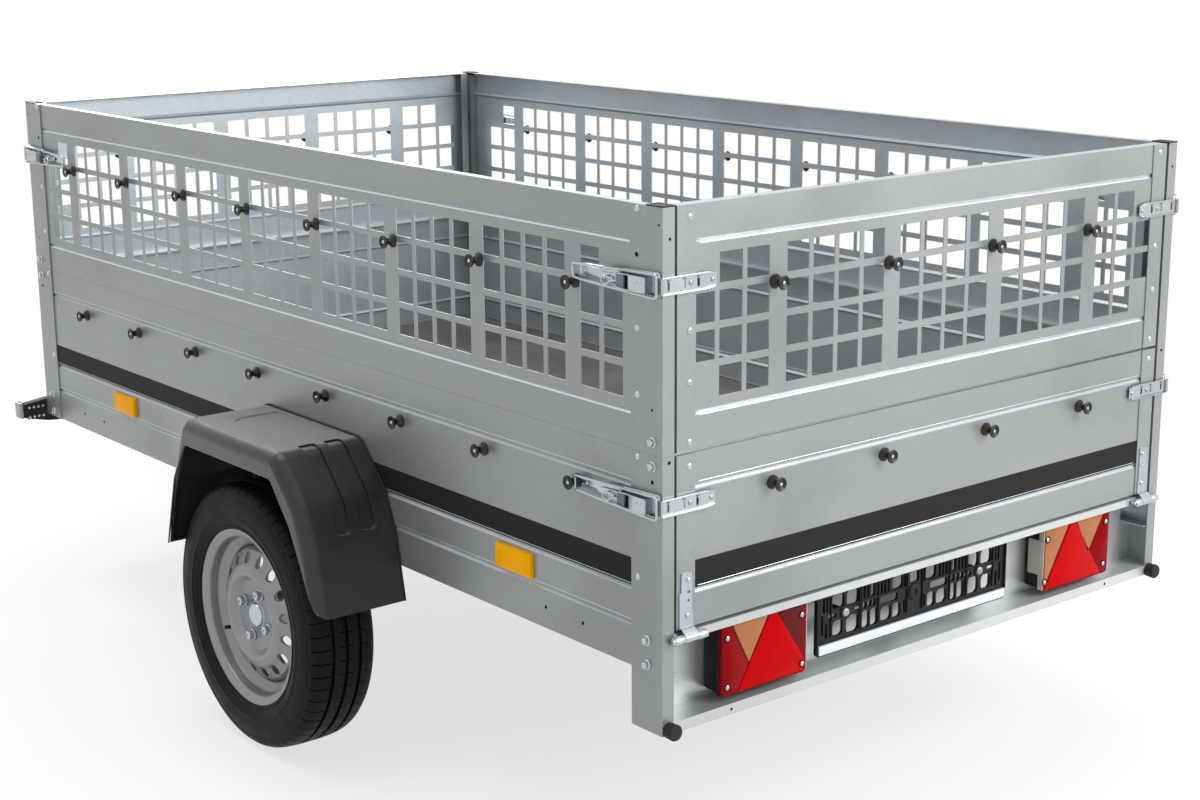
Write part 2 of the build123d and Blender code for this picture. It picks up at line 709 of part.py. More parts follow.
def swing_arm():
    """Trailing arm from the beam to the stub that carries the hub."""
    x1 = LEFT + 4
    x0 = x1 - ARM_THICKNESS
    angle = (BEAM_Z - TYRE_RADIUS, AXLE_Y - BEAM_Y)
    nx, ny = angle[0] / ARM_LENGTH * ARM_RADIUS, -angle[1] / ARM_LENGTH * ARM_RADIUS
    web = prism(
        [(BEAM_Y + nx, BEAM_Z - ny), (BEAM_Y - nx, BEAM_Z + ny),
         (AXLE_Y - nx, TYRE_RADIUS + ny), (AXLE_Y + nx, TYRE_RADIUS - ny)],
        "yz", x0, x1,
    )
    ends = [rod(ARM_RADIUS, (x0, y, z), (x1, y, z))
            for y, z in ((BEAM_Y, BEAM_Z), (AXLE_Y, TYRE_RADIUS))]
    stub = rod(STUB_RADIUS, (x0, AXLE_Y, TYRE_RADIUS), (WHEEL_X - RIM_OFFSET + STUB_BACK, AXLE_Y, TYRE_RADIUS))
    return web + ends + stub


def hub():
    """Hub on the stub, with its flange, and the grease cap that closes it."""
    face = -RIM_OFFSET
    inner = LEFT + 4 - ARM_THICKNESS - 5 - WHEEL_X
    bore = STUB_RADIUS + PIN_CLEARANCE
    body = turned(
        [(inner, bore), (inner, HUB_RADIUS), (face + 10, HUB_RADIUS), (face + 10, 62), (face, 62),
         (face, 30), (face - 4, 29), (face - 4, 24), (face - CAP_RISE, 21), (face - CAP_RISE, 0),
         (face - CAP_RISE + 3, 0), (face + STUB_BACK - 4, bore)],
        (WHEEL_X, AXLE_Y, TYRE_RADIUS), "x",
    )
    return body


def wheel_rim():
    """Pressed steel rim: barrel with a drop centre, and a dished disc with vents."""
    lip = SEAT_RADIUS + RIM_LIP
    half = RIM_WIDTH / 2
    well = SEAT_RADIUS - WELL_DEPTH
    path = [(-half, lip), (-half + 8, SEAT_RADIUS + RIM_SHEET), (-half + 30, SEAT_RADIUS - 2),
            (-half + 44, well), (half - 52, well), (half - 30, SEAT_RADIUS - 2),
            (half - 8, SEAT_RADIUS + RIM_SHEET), (half, lip)]
    dish = [(a - RIM_OFFSET, r * well) for a, r in DISC_PROFILE]
    dish += [(44 - half, well - RIM_SHEET / 2)]
    dish += [(a - DISC_SHEET, r) for a, r in dish[::-1]]
    section = make_face(Polyline(*folded(path, RIM_SHEET), close=True))
    section += make_face(Polyline(*dish, close=True))
    face = Plane((WHEEL_X, AXLE_Y, TYRE_RADIUS), x_dir=(1, 0, 0), z_dir=(0, -1, 0)) * section
    rim = revolve(face, Axis((WHEEL_X, AXLE_Y, TYRE_RADIUS), (1, 0, 0)), 360)
    vents = []
    for k in range(VENT_COUNT):
        t = 2 * pi * (k + 0.5) / VENT_COUNT
        y = AXLE_Y + VENT_RING * well * cos(t)
        z = TYRE_RADIUS + VENT_RING * well * sin(t)
        x = WHEEL_X - RIM_OFFSET
        vents.append(rod(VENT_RADIUS * well, (x - 30, y, z), (x + 20, y, z)))
    return rim.cut(*vents)


def tyre():
    """Tyre: tread, shoulders and bulged sidewalls down to the bead seat."""
    w = TYRE_WIDTH / 2
    r = TYRE_RADIUS
    seat = SEAT_RADIUS + RIM_SHEET + FIT
    half = [(w - 18, seat), (w, r - 58), (w - 4, r - 22), (w - 24, r)]
    section = half + [(-a, b) for a, b in half[::-1]]
    return turned(section, (WHEEL_X, AXLE_Y, TYRE_RADIUS), "x")


# ---- drawbar, coupling, jockey wheel ----

def drawbar():
    half = DRAWBAR_SIZE / 2
    tube = block(-half, half, DRAWBAR_START, DRAWBAR_END, DRAWBAR_TOP - DRAWBAR_SIZE, DRAWBAR_TOP)
    inner = half - DRAWBAR_WALL
    return tube - block(-inner, inner, DRAWBAR_START - 1, DRAWBAR_END + 1,
                        DRAWBAR_Z - inner, DRAWBAR_Z + inner)


def coupling():
    """Pressed coupling: a sleeve on the drawbar and a head with a ball socket."""
    half = DRAWBAR_SIZE / 2 + 4
    y0 = DRAWBAR_END - COUPLING_SLEEVE
    sleeve = block(-half, half, y0, DRAWBAR_END + 20, DRAWBAR_Z - half, DRAWBAR_Z + half)
    sleeve -= block(-half + 4, half - 4, y0 - 1, DRAWBAR_END + FIT, DRAWBAR_Z - half + 4,
                    DRAWBAR_Z + half - 4)
    ball_y = COUPLING_TIP - BALL_RADIUS - 9
    neck = prism(
        [(-half + 6, DRAWBAR_END + 10), (half - 6, DRAWBAR_END + 10), (30, ball_y), (-30, ball_y)],
        "xy", DRAWBAR_Z - 20, DRAWBAR_Z + 22,
    )
    head = rod(BALL_RADIUS + 9, (0, ball_y, DRAWBAR_Z - 30), (0, ball_y, DRAWBAR_Z + 14))
    socket = Pos(0, ball_y, DRAWBAR_Z - 16) * Sphere(BALL_RADIUS + 0.5)
    throat = rod(BALL_RADIUS + 0.5, (0, ball_y, DRAWBAR_Z - 40), (0, ball_y, DRAWBAR_Z - 16))
    return sleeve + neck + head - socket - throat


def coupling_handle():
    ball_y = COUPLING_TIP - BALL_RADIUS - 9
    z = DRAWBAR_Z + 22
    grip = prism(
        [(ball_y + 8, z), (ball_y + 8, z + 12), (ball_y - 60, z + 44), (ball_y - 130, z + 60),
         (ball_y - 134, z + 48), (ball_y - 70, z + 28), (ball_y - 50, z)],
        "yz", -14, 14,
    )
    return grip


def jockey_clamp():
    x = JOCKEY_X
    ring = rod(JOCKEY_TUBE + 9, (x, JOCKEY_Y, DRAWBAR_Z - 30), (x, JOCKEY_Y, DRAWBAR_Z + 30))
    arm = block(DRAWBAR_SIZE / 2, x, JOCKEY_Y - 26, JOCKEY_Y + 26, DRAWBAR_Z - 30, DRAWBAR_Z + 30)
    bore = rod(JOCKEY_TUBE, (x, JOCKEY_Y, DRAWBAR_Z - 31), (x, JOCKEY_Y, DRAWBAR_Z + 31))
    return ring + arm - bore


def jockey_fork_top():
    return 2 * JOCKEY_WHEEL + 18.0


def jockey_tube():
    low = jockey_fork_top() + JOCKEY_TRAVEL + 8
    x = JOCKEY_X
    tube = rod(JOCKEY_TUBE, (x, JOCKEY_Y, low), (x, JOCKEY_Y, JOCKEY_TOP))
    tube -= rod(JOCKEY_TUBE - JOCKEY_WALL, (x, JOCKEY_Y, low - 1), (x, JOCKEY_Y, JOCKEY_TOP - 5))
    return tube


def jockey_crank():
    x, top = JOCKEY_X, JOCKEY_TOP
    shaft = rod(7, (x, JOCKEY_Y, top), (x, JOCKEY_Y, top + 22))
    arm = block(x - 8, x + 8, JOCKEY_Y - 120, JOCKEY_Y + 10, top + 22, top + 28)
    grip = rod(10, (x, JOCKEY_Y - 110, top + 28), (x, JOCKEY_Y - 110, top + 88))
    return shaft + arm + grip


def jockey_leg():
    x = JOCKEY_X
    radius = JOCKEY_TUBE - JOCKEY_WALL - PIN_CLEARANCE
    low = jockey_fork_top() + FIT
    return rod(radius, (x, JOCKEY_Y, low), (x, JOCKEY_Y, JOCKEY_TOP - JOCKEY_TRAVEL - 30))


def jockey_fork():
    """Swivelling fork: a crown under the leg and two cheeks that carry the wheel's pin."""
    x, top = JOCKEY_X, jockey_fork_top()
    half = JOCKEY_WHEEL_WIDTH / 2 + 5
    y = JOCKEY_Y - JOCKEY_TRAIL
    crown = block(x - half - 4, x + half + 4, JOCKEY_Y - 55, JOCKEY_Y + 25, top - 5, top)
    cheek = prism(
        [(JOCKEY_Y - 55, top - 5), (JOCKEY_Y + 25, top - 5), (y + 16, JOCKEY_WHEEL - 14),
         (y - 16, JOCKEY_WHEEL - 14)],
        "yz", x + half, x + half + 4,
    )
    other = prism(
        [(JOCKEY_Y - 55, top - 5), (JOCKEY_Y + 25, top - 5), (y + 16, JOCKEY_WHEEL - 14),
         (y - 16, JOCKEY_WHEEL - 14)],
        "yz", x - half - 4, x - half,
    )
    pin = rod(8, (x - half - 8, y, JOCKEY_WHEEL), (x + half + 8, y, JOCKEY_WHEEL))
    return crown + cheek + other + pin


def jockey_wheel():
    w = JOCKEY_WHEEL_WIDTH / 2
    r = JOCKEY_WHEEL
    bore = 8 + PIN_CLEARANCE
    points = [(-w, bore), (-w, 24), (-12, 28), (-12, 62), (-w, 66), (-w, r - 10), (-w + 9, r),
              (w - 9, r), (w, r - 10), (w, 66), (12, 62), (12, 28), (w, 24), (w, bore)]
    return turned(points, (JOCKEY_X, JOCKEY_Y - JOCKEY_TRAIL, r), "x")


def group(pieces):
    """Solids that share one node."""
    return Compound([solid for piece in pieces for solid in piece.solids()])


def build():
    os.makedirs("parts", exist_ok=True)
    export(floor_deck(), "floor_deck")
    export(group([cross_rail(place) for place in CROSS_PLACES]), "cross_rails")
    export(rear_crossmember(), "rear_crossmember")
    left, right = both_sides(side_board())
    export(left, "side_board_left")
    export(right, "side_board_right")
    export(front_board(), "front_board")
    export(group([*both_sides(rear_post()), *both_sides(front_post())]), "corner_posts")
    extensions = [*both_sides(extension_post(False)), *both_sides(extension_post(True))]
    export(group(extensions), "extension_posts")
    export(group([*both_sides(post_cap(False)), *both_sides(post_cap(True))]), "post_caps")
    left, right = both_sides(mesh_side())
    export(left, "mesh_side_left")
    export(right, "mesh_side_right")

    export(tailgate(), "tailgate")
    export(group(tailgate_ends()), "tailgate_ends")
    export(mesh_gate(MESH_GATE_LOW), "mesh_gate")
    export(group(gate_ends(MESH_GATE_LOW, MESH_TOP)), "mesh_gate_ends")
    export(to_front(mesh_gate(FRONT_MESH_LOW)), "front_mesh")
    ends = gate_ends(FRONT_MESH_LOW, MESH_TOP)
    export(group([to_front(p) for p in ends]), "front_mesh_ends")
    export(group(both_sides(hinge_leaf())), "hinge_leaves")
    export(group(both_sides(hinge_seat())), "hinge_seats")

    lower_z, upper_z = (DECK_Z + h for h in LATCH_HEIGHTS)
    export(group([*both_sides(latch(lower_z)), *both_sides(latch(upper_z))]), "rear_latches")
    export(group([to_front(p) for p in both_sides(latch(upper_z))]), "front_latches")
    export(group(both_sides(keeper(lower_z))), "tailgate_keepers")
    export(group(both_sides(keeper(upper_z))), "mesh_gate_keepers")
    export(group([to_front(p) for p in both_sides(keeper(upper_z))]), "front_mesh_keepers")

    for name, hooks in (("side_hooks", side_hooks()), ("mesh_side_hooks", mesh_side_hooks())):
        export(group(hooks + [mirror(h, about=Plane.YZ) for h in hooks]), name)
    low, high = DECK_Z + HOOK_HEIGHT, BOARD_TOP + MESH_HOOK_HEIGHT
    export(group(gate_hooks(low)), "tailgate_hooks")
    export(group(gate_hooks(high)), "mesh_gate_hooks")
    export(group([to_front(h) for h in gate_hooks(low)]), "front_hooks")
    export(group([to_front(h) for h in gate_hooks(high)]), "front_mesh_hooks")

    for name, piece in (
        ("fender", fender()), ("hub", hub()), ("rim", wheel_rim()), ("tyre", tyre()),
    ):
        left, right = both_sides(piece)
        export(left, f"{name}_left")
        export(right, f"{name}_right")
    for name, piece in (
        ("lamp_bodies", lamp_body()), ("lamp_lenses", lamp_lens()), ("marker_arms", marker_arm()),
        ("marker_lenses", marker_lens()), ("swing_arms", swing_arm()),
    ):
        export(group(both_sides(piece)), name)
    export(plate_holder(), "plate_holder")
    export(group(both_sides(buffer())), "gate_buffers")
    reflectors = side_reflectors()
    export(group(reflectors + [mirror(r, about=Plane.YZ) for r in reflectors]), "side_reflectors")
    export(axle_beam(), "axle_beam")
    export(drawbar(), "drawbar")
    export(coupling(), "coupling")
    export(coupling_handle(), "coupling_handle")
    export(jockey_clamp(), "jockey_clamp")
    export(jockey_tube(), "jockey_tube")
    export(jockey_crank(), "jockey_crank")
    export(jockey_leg(), "jockey_leg")
    export(jockey_fork(), "jockey_fork")
    export(jockey_wheel(), "jockey_wheel")


build()
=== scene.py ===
from math import atan2, cos, hypot, pi, radians, sin

import bpy
from mathutils import Matrix, Vector


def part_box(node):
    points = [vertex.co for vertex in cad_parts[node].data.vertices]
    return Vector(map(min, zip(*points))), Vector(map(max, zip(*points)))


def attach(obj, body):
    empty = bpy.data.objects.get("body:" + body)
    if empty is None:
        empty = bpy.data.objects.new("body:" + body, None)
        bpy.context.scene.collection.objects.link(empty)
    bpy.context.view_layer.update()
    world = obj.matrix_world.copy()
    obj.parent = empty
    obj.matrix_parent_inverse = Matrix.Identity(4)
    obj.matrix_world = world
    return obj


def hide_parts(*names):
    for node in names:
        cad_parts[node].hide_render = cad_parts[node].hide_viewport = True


bl_info = {
    "name": "Utility trailer",
    "version": (1, 0, 0),
    "blender": (4, 5, 0),
    "location": "3D View > Sidebar > Trailer",
    "description": "Dresses the frame of a box trailer with its finished pieces",
    "category": "Add Mesh",
}

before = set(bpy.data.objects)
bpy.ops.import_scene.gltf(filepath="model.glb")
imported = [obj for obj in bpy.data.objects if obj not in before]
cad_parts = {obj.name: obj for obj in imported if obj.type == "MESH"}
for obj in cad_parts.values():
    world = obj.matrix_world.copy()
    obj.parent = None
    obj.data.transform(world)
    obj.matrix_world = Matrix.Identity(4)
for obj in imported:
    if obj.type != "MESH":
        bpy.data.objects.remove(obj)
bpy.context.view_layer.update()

# Places are in millimetres from the left rear post: x from its outer face to the right,
# y from its rear face forward, z up from its foot.
POST_LOW, POST_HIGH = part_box("corner_posts")


def span(name):
    """A node's box in millimetres: low x, high x, low y, high y, low z, high z."""
    low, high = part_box(name)
    return [(value - POST_LOW[axis]) * 1000 for axis in range(3)
            for value in (low[axis], high[axis])]


def spot(x, y, z):
    """A place in millimetres as a point of the frame in metres."""
    return Vector([low + value / 1000 for low, value in zip(POST_LOW, (x, y, z))])


BODY_WIDTH, BODY_LENGTH, POST_TOP = span("corner_posts")[1::2]
WHEEL_LOW, WHEEL_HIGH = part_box("tyre_left")
WHEEL_X, WHEEL_Y, WHEEL_Z = [
    ((low + high) / 2 - post) * 1000 for low, high, post in zip(WHEEL_LOW, WHEEL_HIGH, POST_LOW)]
TYRE_RADIUS = (WHEEL_HIGH[2] - WHEEL_LOW[2]) * 500

AXIS = 0.01         # radius of a turned profile's ends, which merge on the axis
MERGE = 0.00002     # metres between vertices that become one
NEAR = 0.0002       # metres between a vertex and the place it is looked for at


# ---------------------------------------------------------------- settings

def colour_of(name, description, default):
    return bpy.props.FloatVectorProperty(name=name, description=description, subtype="COLOR",
                                         size=3, min=0.0, max=1.0, default=default)


def length_of(name, description, default):
    return bpy.props.FloatProperty(name=name, description=description, unit="LENGTH",
                                   default=default)


class TrailerFinish(bpy.types.PropertyGroup):
    zinc: colour_of("Zinc sheet", "Colour of the coated sheet", (0.315, 0.323, 0.322))
    # Painted light: the inner side is the same coated sheet, and this paler bluish colour paints
    # the light and reflection that its inner faces get.
    zinc_inner_painted_light: colour_of("Zinc sheet, inside", "Colour of its inner side", (0.55, 0.60, 0.64))
    stripe: colour_of("Stripe", "Colour of the film stripe", (0.013, 0.013, 0.0135))
    fender: colour_of("Fender plastic", "Colour of the fenders", (0.020, 0.020, 0.021))
    rim: colour_of("Rim lacquer", "Colour of the wheel rims", (0.27, 0.27, 0.275))
    lens: colour_of("Red lens", "Colour of the lamp lenses", (0.45, 0.0, 0.001))
    reflector: colour_of("Side reflector", "Colour of the side reflectors", (1.0, 0.40, 0.0))


class TrailerSizes(bpy.types.PropertyGroup):
    stripe_low: length_of("Stripe, lower edge", "Height above the post's foot", 0.2425)
    stripe_high: length_of("Stripe, upper edge", "Height above the post's foot", 0.290)
    rivet: length_of("Rivet radius", "Radius of a rivet's head", 0.0062)
    tread_depth: length_of("Tread depth", "Depth of the tyre's grooves", 0.0065)


def finish_of():
    return bpy.context.scene.trailer_finish


def sizes_of():
    return bpy.context.scene.trailer_sizes


# ---------------------------------------------------------------- materials

class Look:
    """The nodes of a material or of the world, while they are put together."""

    def __init__(self, owner):
        self.owner = bpy.data.materials.new(owner) if isinstance(owner, str) else owner
        self.owner.use_nodes = True
        self.tree = self.owner.node_tree

    def add(self, kind, inputs, **values):
        """A node. inputs says, by name or number, what its inputs hold or are linked to."""
        made = self.tree.nodes.new(kind)
        for key, value in values.items():
            setattr(made, key, value)
        self.feed(made, inputs)
        return made

    def feed(self, made, inputs):
        for key, value in inputs.items():
            socket = made.inputs[key]
            if isinstance(value, bpy.types.NodeSocket):
                self.tree.links.new(value, socket)
            else:
                socket.default_value = (*value, 1.0) if socket.type == "RGBA" else value

    def pattern(self, stretch=(1, 1, 1)):
        """Object coordinates, stretched for a pattern."""
        coords = self.add("ShaderNodeTexCoord", {}).outputs["Object"]
        return self.add("ShaderNodeMapping", {"Vector": coords, "Scale": stretch}).outputs[0]

    def noise(self, scale, detail=3.0, rough=0.55, stretch=(1, 1, 1)):
        return self.add("ShaderNodeTexNoise", {
            "Vector": self.pattern(stretch), "Scale": scale, "Detail": detail,
            "Roughness": rough}).outputs["Fac"]

    def cells(self, scale, randomness, feature="DISTANCE_TO_EDGE", result="Distance"):
        return self.add("ShaderNodeTexVoronoi", {
            "Vector": self.pattern(), "Scale": scale, "Randomness": randomness},
            feature=feature).outputs[result]

    def ranged(self, value, low, high, to_low=0.0, to_high=1.0):
        return self.add("ShaderNodeMapRange", {
            "Value": value, "From Min": low, "From Max": high, "To Min": to_low,
            "To Max": to_high}).outputs["Result"]

    def mixed(self, share, first, second):
        """Mix of two colours. Each is a colour or a socket."""
        return self.add("ShaderNodeMix", {0: share, 6: first, 7: second},
                        data_type="RGBA").outputs[2]

    def maths(self, operation, first, second):
        return self.add("ShaderNodeMath", {0: first, 1: second}, operation=operation).outputs[0]

    def seen(self):
        """1 for what the camera, metal and glass see, 0 for the light that falls on things."""
        ray = self.add("ShaderNodeLightPath", {}).outputs
        seen = self.maths("MAXIMUM", ray["Is Camera Ray"], ray["Is Glossy Ray"])
        return self.maths("MAXIMUM", seen, ray["Is Transmission Ray"])

    def surface(self, tone, rough, height, strength, distance, **levels):
        """The finished material, with a bump of its surface."""
        bump = self.add("ShaderNodeBump", {
            "Height": height, "Strength": strength, "Distance": distance})
        self.feed(self.tree.nodes["Principled BSDF"], {
            "Base Color": tone, "Roughness": rough, "Normal": bump.outputs["Normal"],
            **{key.replace("_", " "): value for key, value in levels.items()}})
        return self.owner


def shade(colour, factor):
    return tuple(min(c * factor, 1.0) for c in colour[:3])


def zinc_sheet(name, colour, grain, inner=None, skin=None, stripe=None):
    """Coated sheet with rolling marks along its grain, faint spangles and dull patches.

    skin is (axis, sign, limit): beyond the limit along the axis the sheet shows its outer side;
    elsewhere it shows inner, a paler bluish colour that paints the light and reflection on the
    inner faces. stripe is (low, high): a film between those heights on the outer side."""
    look = Look(name)
    stretch = [0.06 if axis == grain else 1 for axis in "xyz"]
    fine = look.noise(900.0, 2.0, 0.6, stretch)
    broad = look.noise(26.0, 3.0, 0.5, stretch)
    patch = look.noise(2.2, 4.0, 0.5)
    cells = look.cells(95.0, 1.0, "F1", "Color")
    spangle = look.add("ShaderNodeRGBToBW", {0: cells}).outputs[0]
    tone, rough, metal = colour, look.ranged(patch, 0.3, 0.7, 0.33, 0.44), 0.62
    if skin:
        axis, sign, limit = skin
        coords = look.add("ShaderNodeTexCoord", {}).outputs["Object"]
        place = look.add("ShaderNodeSeparateXYZ", {0: coords}).outputs
        outer = look.maths("GREATER_THAN" if sign > 0 else "LESS_THAN",
                           place["xyz".index(axis)], limit)
        # The inner side's colour is painted light and reflection, not a coating of its own.
        tone = look.mixed(outer, inner, colour)
    for value, low, high, to_low, to_high, factor in (
        (broad, 0.3, 0.7, 0.0, 0.22, 1.22), (spangle, 0.2, 0.8, 0.0, 0.10, 0.72),
        (patch, 0.35, 0.7, 0.0, 0.30, 1.35), (patch, 0.30, 0.46, 0.32, 0.0, 0.62),
        (fine, 0.35, 0.65, 0.0, 0.10, 0.8),
    ):
        share = look.ranged(value, low, high, to_low, to_high)
        tone = look.mixed(share, tone, shade(colour, factor))
    if stripe:
        above = look.maths("GREATER_THAN", place[2], stripe[0])
        below = look.maths("LESS_THAN", place[2], stripe[1])
        film = look.maths("MULTIPLY", look.maths("MULTIPLY", above, below), outer)
        tone = look.mixed(film, tone, tuple(finish_of().stripe))
        rough = look.ranged(film, 0.0, 1.0, 0.38, 0.60)
        metal = look.ranged(film, 0.0, 1.0, 0.62, 0.0)
    height = look.maths("ADD", look.maths("MULTIPLY", fine, 0.35), broad)
    return look.surface(tone, rough, height, 0.10, 0.0006, Specular_IOR_Level=0.15,
                        Metallic=metal)


def bright_zinc(name, colour=(0.50, 0.53, 0.56), rough=0.24, metal=0.9):
    """Plated steel: bright, with soft dull clouds and fine brushing."""
    look = Look(name)
    cloud = look.noise(14.0)
    tone = look.mixed(look.ranged(cloud, 0.3, 0.7), shade(colour, 0.92), shade(colour, 1.08))
    brushed = look.noise(1500.0, 2.0, stretch=(1, 1, 0.05))
    return look.surface(tone, look.ranged(cloud, 0.3, 0.7, rough - 0.03, rough + 0.05),
                        brushed, 0.02, 0.0002, Metallic=metal)


def moulded(name, colour, rough, grain=900.0, bump=0.25, gloss=0.22, painted_sheen=None):
    """Moulded plastic or rubber with a fine grain and faint scuffs.

    The last argument is a paler colour mixed in where the surface is seen at a low angle: a
    painted sheen."""
    look = Look(name)
    scuff = look.noise(14.0, 5.0, 0.6)
    tone = look.mixed(look.ranged(scuff, 0.45, 0.75, 0.0, 0.5), colour, shade(colour, 1.5))
    if painted_sheen:
        # Painted sheen: the colour turns paler where the surface is seen at a low angle.
        facing = look.add("ShaderNodeLayerWeight", {"Blend": 0.5}).outputs["Facing"]
        tone = look.mixed(look.ranged(facing, 0.46, 0.80), tone, painted_sheen)
    return look.surface(tone, look.ranged(scuff, 0.3, 0.75, rough - 0.05, rough + 0.10),
                        look.noise(grain, 2.0, 0.6), bump, 0.0006, Specular_IOR_Level=gloss)


def moulded_lens(name, colour, cell=260.0, rough=0.22, gloss=0.04, depth=0.35, dim=0.72):
    """Moulded lens with a fine prism pattern behind a smooth face."""
    look = Look(name)
    prisms = look.cells(cell, 0.12)
    tone = look.mixed(look.ranged(prisms, 0.0, 0.35), shade(colour, dim), shade(colour, 1.12))
    glow = look.ranged(look.noise(22.0), 0.35, 0.7, 0.0, 0.35)
    return look.surface(look.mixed(glow, tone, shade(colour, 1.25)), rough, prisms, depth,
                        0.0008, Specular_IOR_Level=gloss)


def tyre_rubber(name):
    """Dull tyre rubber with dusty patches."""
    look = Look(name)
    dust = look.noise(18.0, 5.0, 0.62)
    tone = look.mixed(look.ranged(dust, 0.4, 0.75, 0.0, 0.7), (0.004, 0.004, 0.004),
                      (0.012, 0.0115, 0.011))
    return look.surface(tone, look.ranged(dust, 0.3, 0.75, 0.42, 0.62),
                        look.noise(700.0, 3.0, 0.7), 0.25, 0.0005, Specular_IOR_Level=0.11)


def film_ply(name):
    """Film-faced plywood with a fine non-slip net and dusty patches."""
    look = Look(name)
    net = look.cells(240.0, 0.0)
    dust = look.noise(3.5, 5.0, 0.6)
    tone = look.mixed(look.ranged(dust, 0.35, 0.75), (0.085, 0.078, 0.070),
                      (0.170, 0.160, 0.148))
    tone = look.mixed(look.ranged(net, 0.0, 0.12, 0.35, 0.0), tone, (0.03, 0.027, 0.025))
    return look.surface(tone, look.ranged(dust, 0.3, 0.8, 0.38, 0.66), net, 0.3, 0.0008,
                        Specular_IOR_Level=0.35)


FINISHES = {}


def make_finishes():
    """Every material, by the name the pieces use."""
    look = finish_of()
    # The second colour paints the light and reflection on the sheets' inner sides.
    zinc, inner = tuple(look.zinc), tuple(look.zinc_inner_painted_light)
    band = [POST_LOW[2] + height for height in (sizes_of().stripe_low, sizes_of().stripe_high)]
    skin = 0.0040       # how deep the outer side reaches
    left, right = ("x", -1, POST_LOW[0] + skin), ("x", 1, POST_HIGH[0] - skin)
    rear, front = ("y", -1, POST_LOW[1] + skin), ("y", 1, POST_HIGH[1] - skin)
    for key, name, factor, grain, side, stripe in (
        ("posts", "Zinc posts", 1, "z", None, None),
        ("rails", "Zinc rails", 1, "x", None, None),
        # The crossmember's zinc is 1.75 times paler as painted light, for a part that stands in
        # shade under the tailgate.
        ("crossmember", "Zinc crossmember", 1.75, "x", None, None),
        ("beams", "Zinc beams", 0.92, "y", None, None),
        ("board_left", "Zinc board, left", 1, "y", left, band),
        ("board_right", "Zinc board, right", 1, "y", right, band),
        ("mesh_left", "Zinc mesh, left", 1, "y", left, None),
        ("mesh_right", "Zinc mesh, right", 1, "y", right, None),
        ("gate", "Zinc tailgate", 1, "x", rear, band),
        ("gate_mesh", "Zinc gate mesh", 1, "x", rear, None),
        ("front", "Zinc front", 1, "x", front, None),
    ):
        FINISHES[key] = zinc_sheet(name, shade(zinc, factor), grain, inner, side, stripe)
    FINISHES.update({
        "bright": bright_zinc("Bright zinc"),
        "dull": bright_zinc("Dull zinc", (0.36, 0.37, 0.38), 0.34, 0.8),
        # Pale zinc for thin strips on the grooves' lower slopes: a painted highlight.
        "crease": bright_zinc("Creased zinc", (0.68, 0.70, 0.72), 0.32, 0.7),
        "steel_dark": bright_zinc("Dark steel", (0.16, 0.18, 0.21), 0.34),
        "rim": bright_zinc("Rim lacquer", tuple(look.rim), 0.40, 0.6),
        "black": moulded("Black plastic", (0.008, 0.008, 0.009), 0.38),
        "knob": moulded("Knob plastic", (0.006, 0.006, 0.007), 0.28, 500.0, 0.08, 0.4),
        "rubber": moulded("Black rubber", (0.018, 0.017, 0.017), 0.60),
        "white": moulded("White plastic", (0.60, 0.63, 0.66), 0.38),
        "paint": moulded("Handle paint", (0.03, 0.03, 0.032), 0.35),
        "hole": moulded("Hole shadow", (0.004, 0.004, 0.004), 0.9),
        # The fender's last colour is its painted sheen at low angles.
        "fender": moulded("Fender plastic", tuple(look.fender), 0.36, 1300.0, 0.14, 0.42,
                          (0.27, 0.275, 0.28)),
        "tyre": tyre_rubber("Tyre rubber"),
        "ply": film_ply("Floor plywood"),
        "lens": moulded_lens("Red lens", tuple(look.lens)),
        "lens_tail": moulded_lens("Tail lens", (0.25, 0.002, 0.004), 200.0),
        "lens_dark": moulded_lens("Dark red lens", (0.16, 0.006, 0.008)),
        "lens_maroon": moulded_lens("Fog lens", (0.10, 0.012, 0.012)),
        "lens_tan": moulded_lens("Amber lens", (0.36, 0.15, 0.065), 420.0),
        "amber": moulded_lens("Amber reflector", tuple(look.reflector), 200.0, 0.20, 0.04,
                              0.2, 0.92),
        "clear": moulded_lens("Clear lens", (0.42, 0.41, 0.37), 300.0, 0.16, 0.4),
    })


NODE_FINISHES = {node: finish for finish, nodes in {
    "ply": "floor_deck",
    "rails": "cross_rails",
    "crossmember": "rear_crossmember",
    "beams": "axle_beam drawbar",
    "posts": "corner_posts extension_posts tailgate_ends mesh_gate_ends front_mesh_ends",
    "board_left": "side_board_left",
    "board_right": "side_board_right",
    "mesh_left": "mesh_side_left",
    "mesh_right": "mesh_side_right",
    "gate": "tailgate",
    "gate_mesh": "mesh_gate",
    "front": "front_board front_mesh",
    "bright": "hinge_leaves hinge_seats rear_latches front_latches tailgate_keepers "
              "mesh_gate_keepers front_mesh_keepers coupling jockey_clamp jockey_tube "
              "jockey_leg jockey_fork",
    "dull": "swing_arms hub_left hub_right",
    "rim": "rim_left rim_right",
    "tyre": "tyre_left tyre_right",
    "fender": "fender_left fender_right",
    "knob": "side_hooks mesh_side_hooks tailgate_hooks mesh_gate_hooks front_hooks "
            "front_mesh_hooks",
    "black": "post_caps lamp_bodies plate_holder",
    "rubber": "gate_buffers marker_arms jockey_wheel",
    "lens": "lamp_lenses",
    "amber": "side_reflectors",
    "clear": "marker_lenses",
    "paint": "coupling_handle jockey_crank",
}.items() for node in nodes.split()}

FINISH_SLOTS = {finish: slot for slot, finishes in {
    "zinc_bright": "bright dull steel_dark",
    "galvanised": "crease",
    "black_plastic": "black knob hole",
    "solid_rubber": "rubber",
    "fender_plastic": "fender",
    "tyre_rubber": "tyre",
    "rim_steel": "rim",
    "handle_paint": "paint",
    "lens_red": "lens lens_tail lens_dark lens_maroon",
    "lens_orange": "lens_tan amber",
    "lens_white": "clear white",
}.items() for finish in finishes.split()}


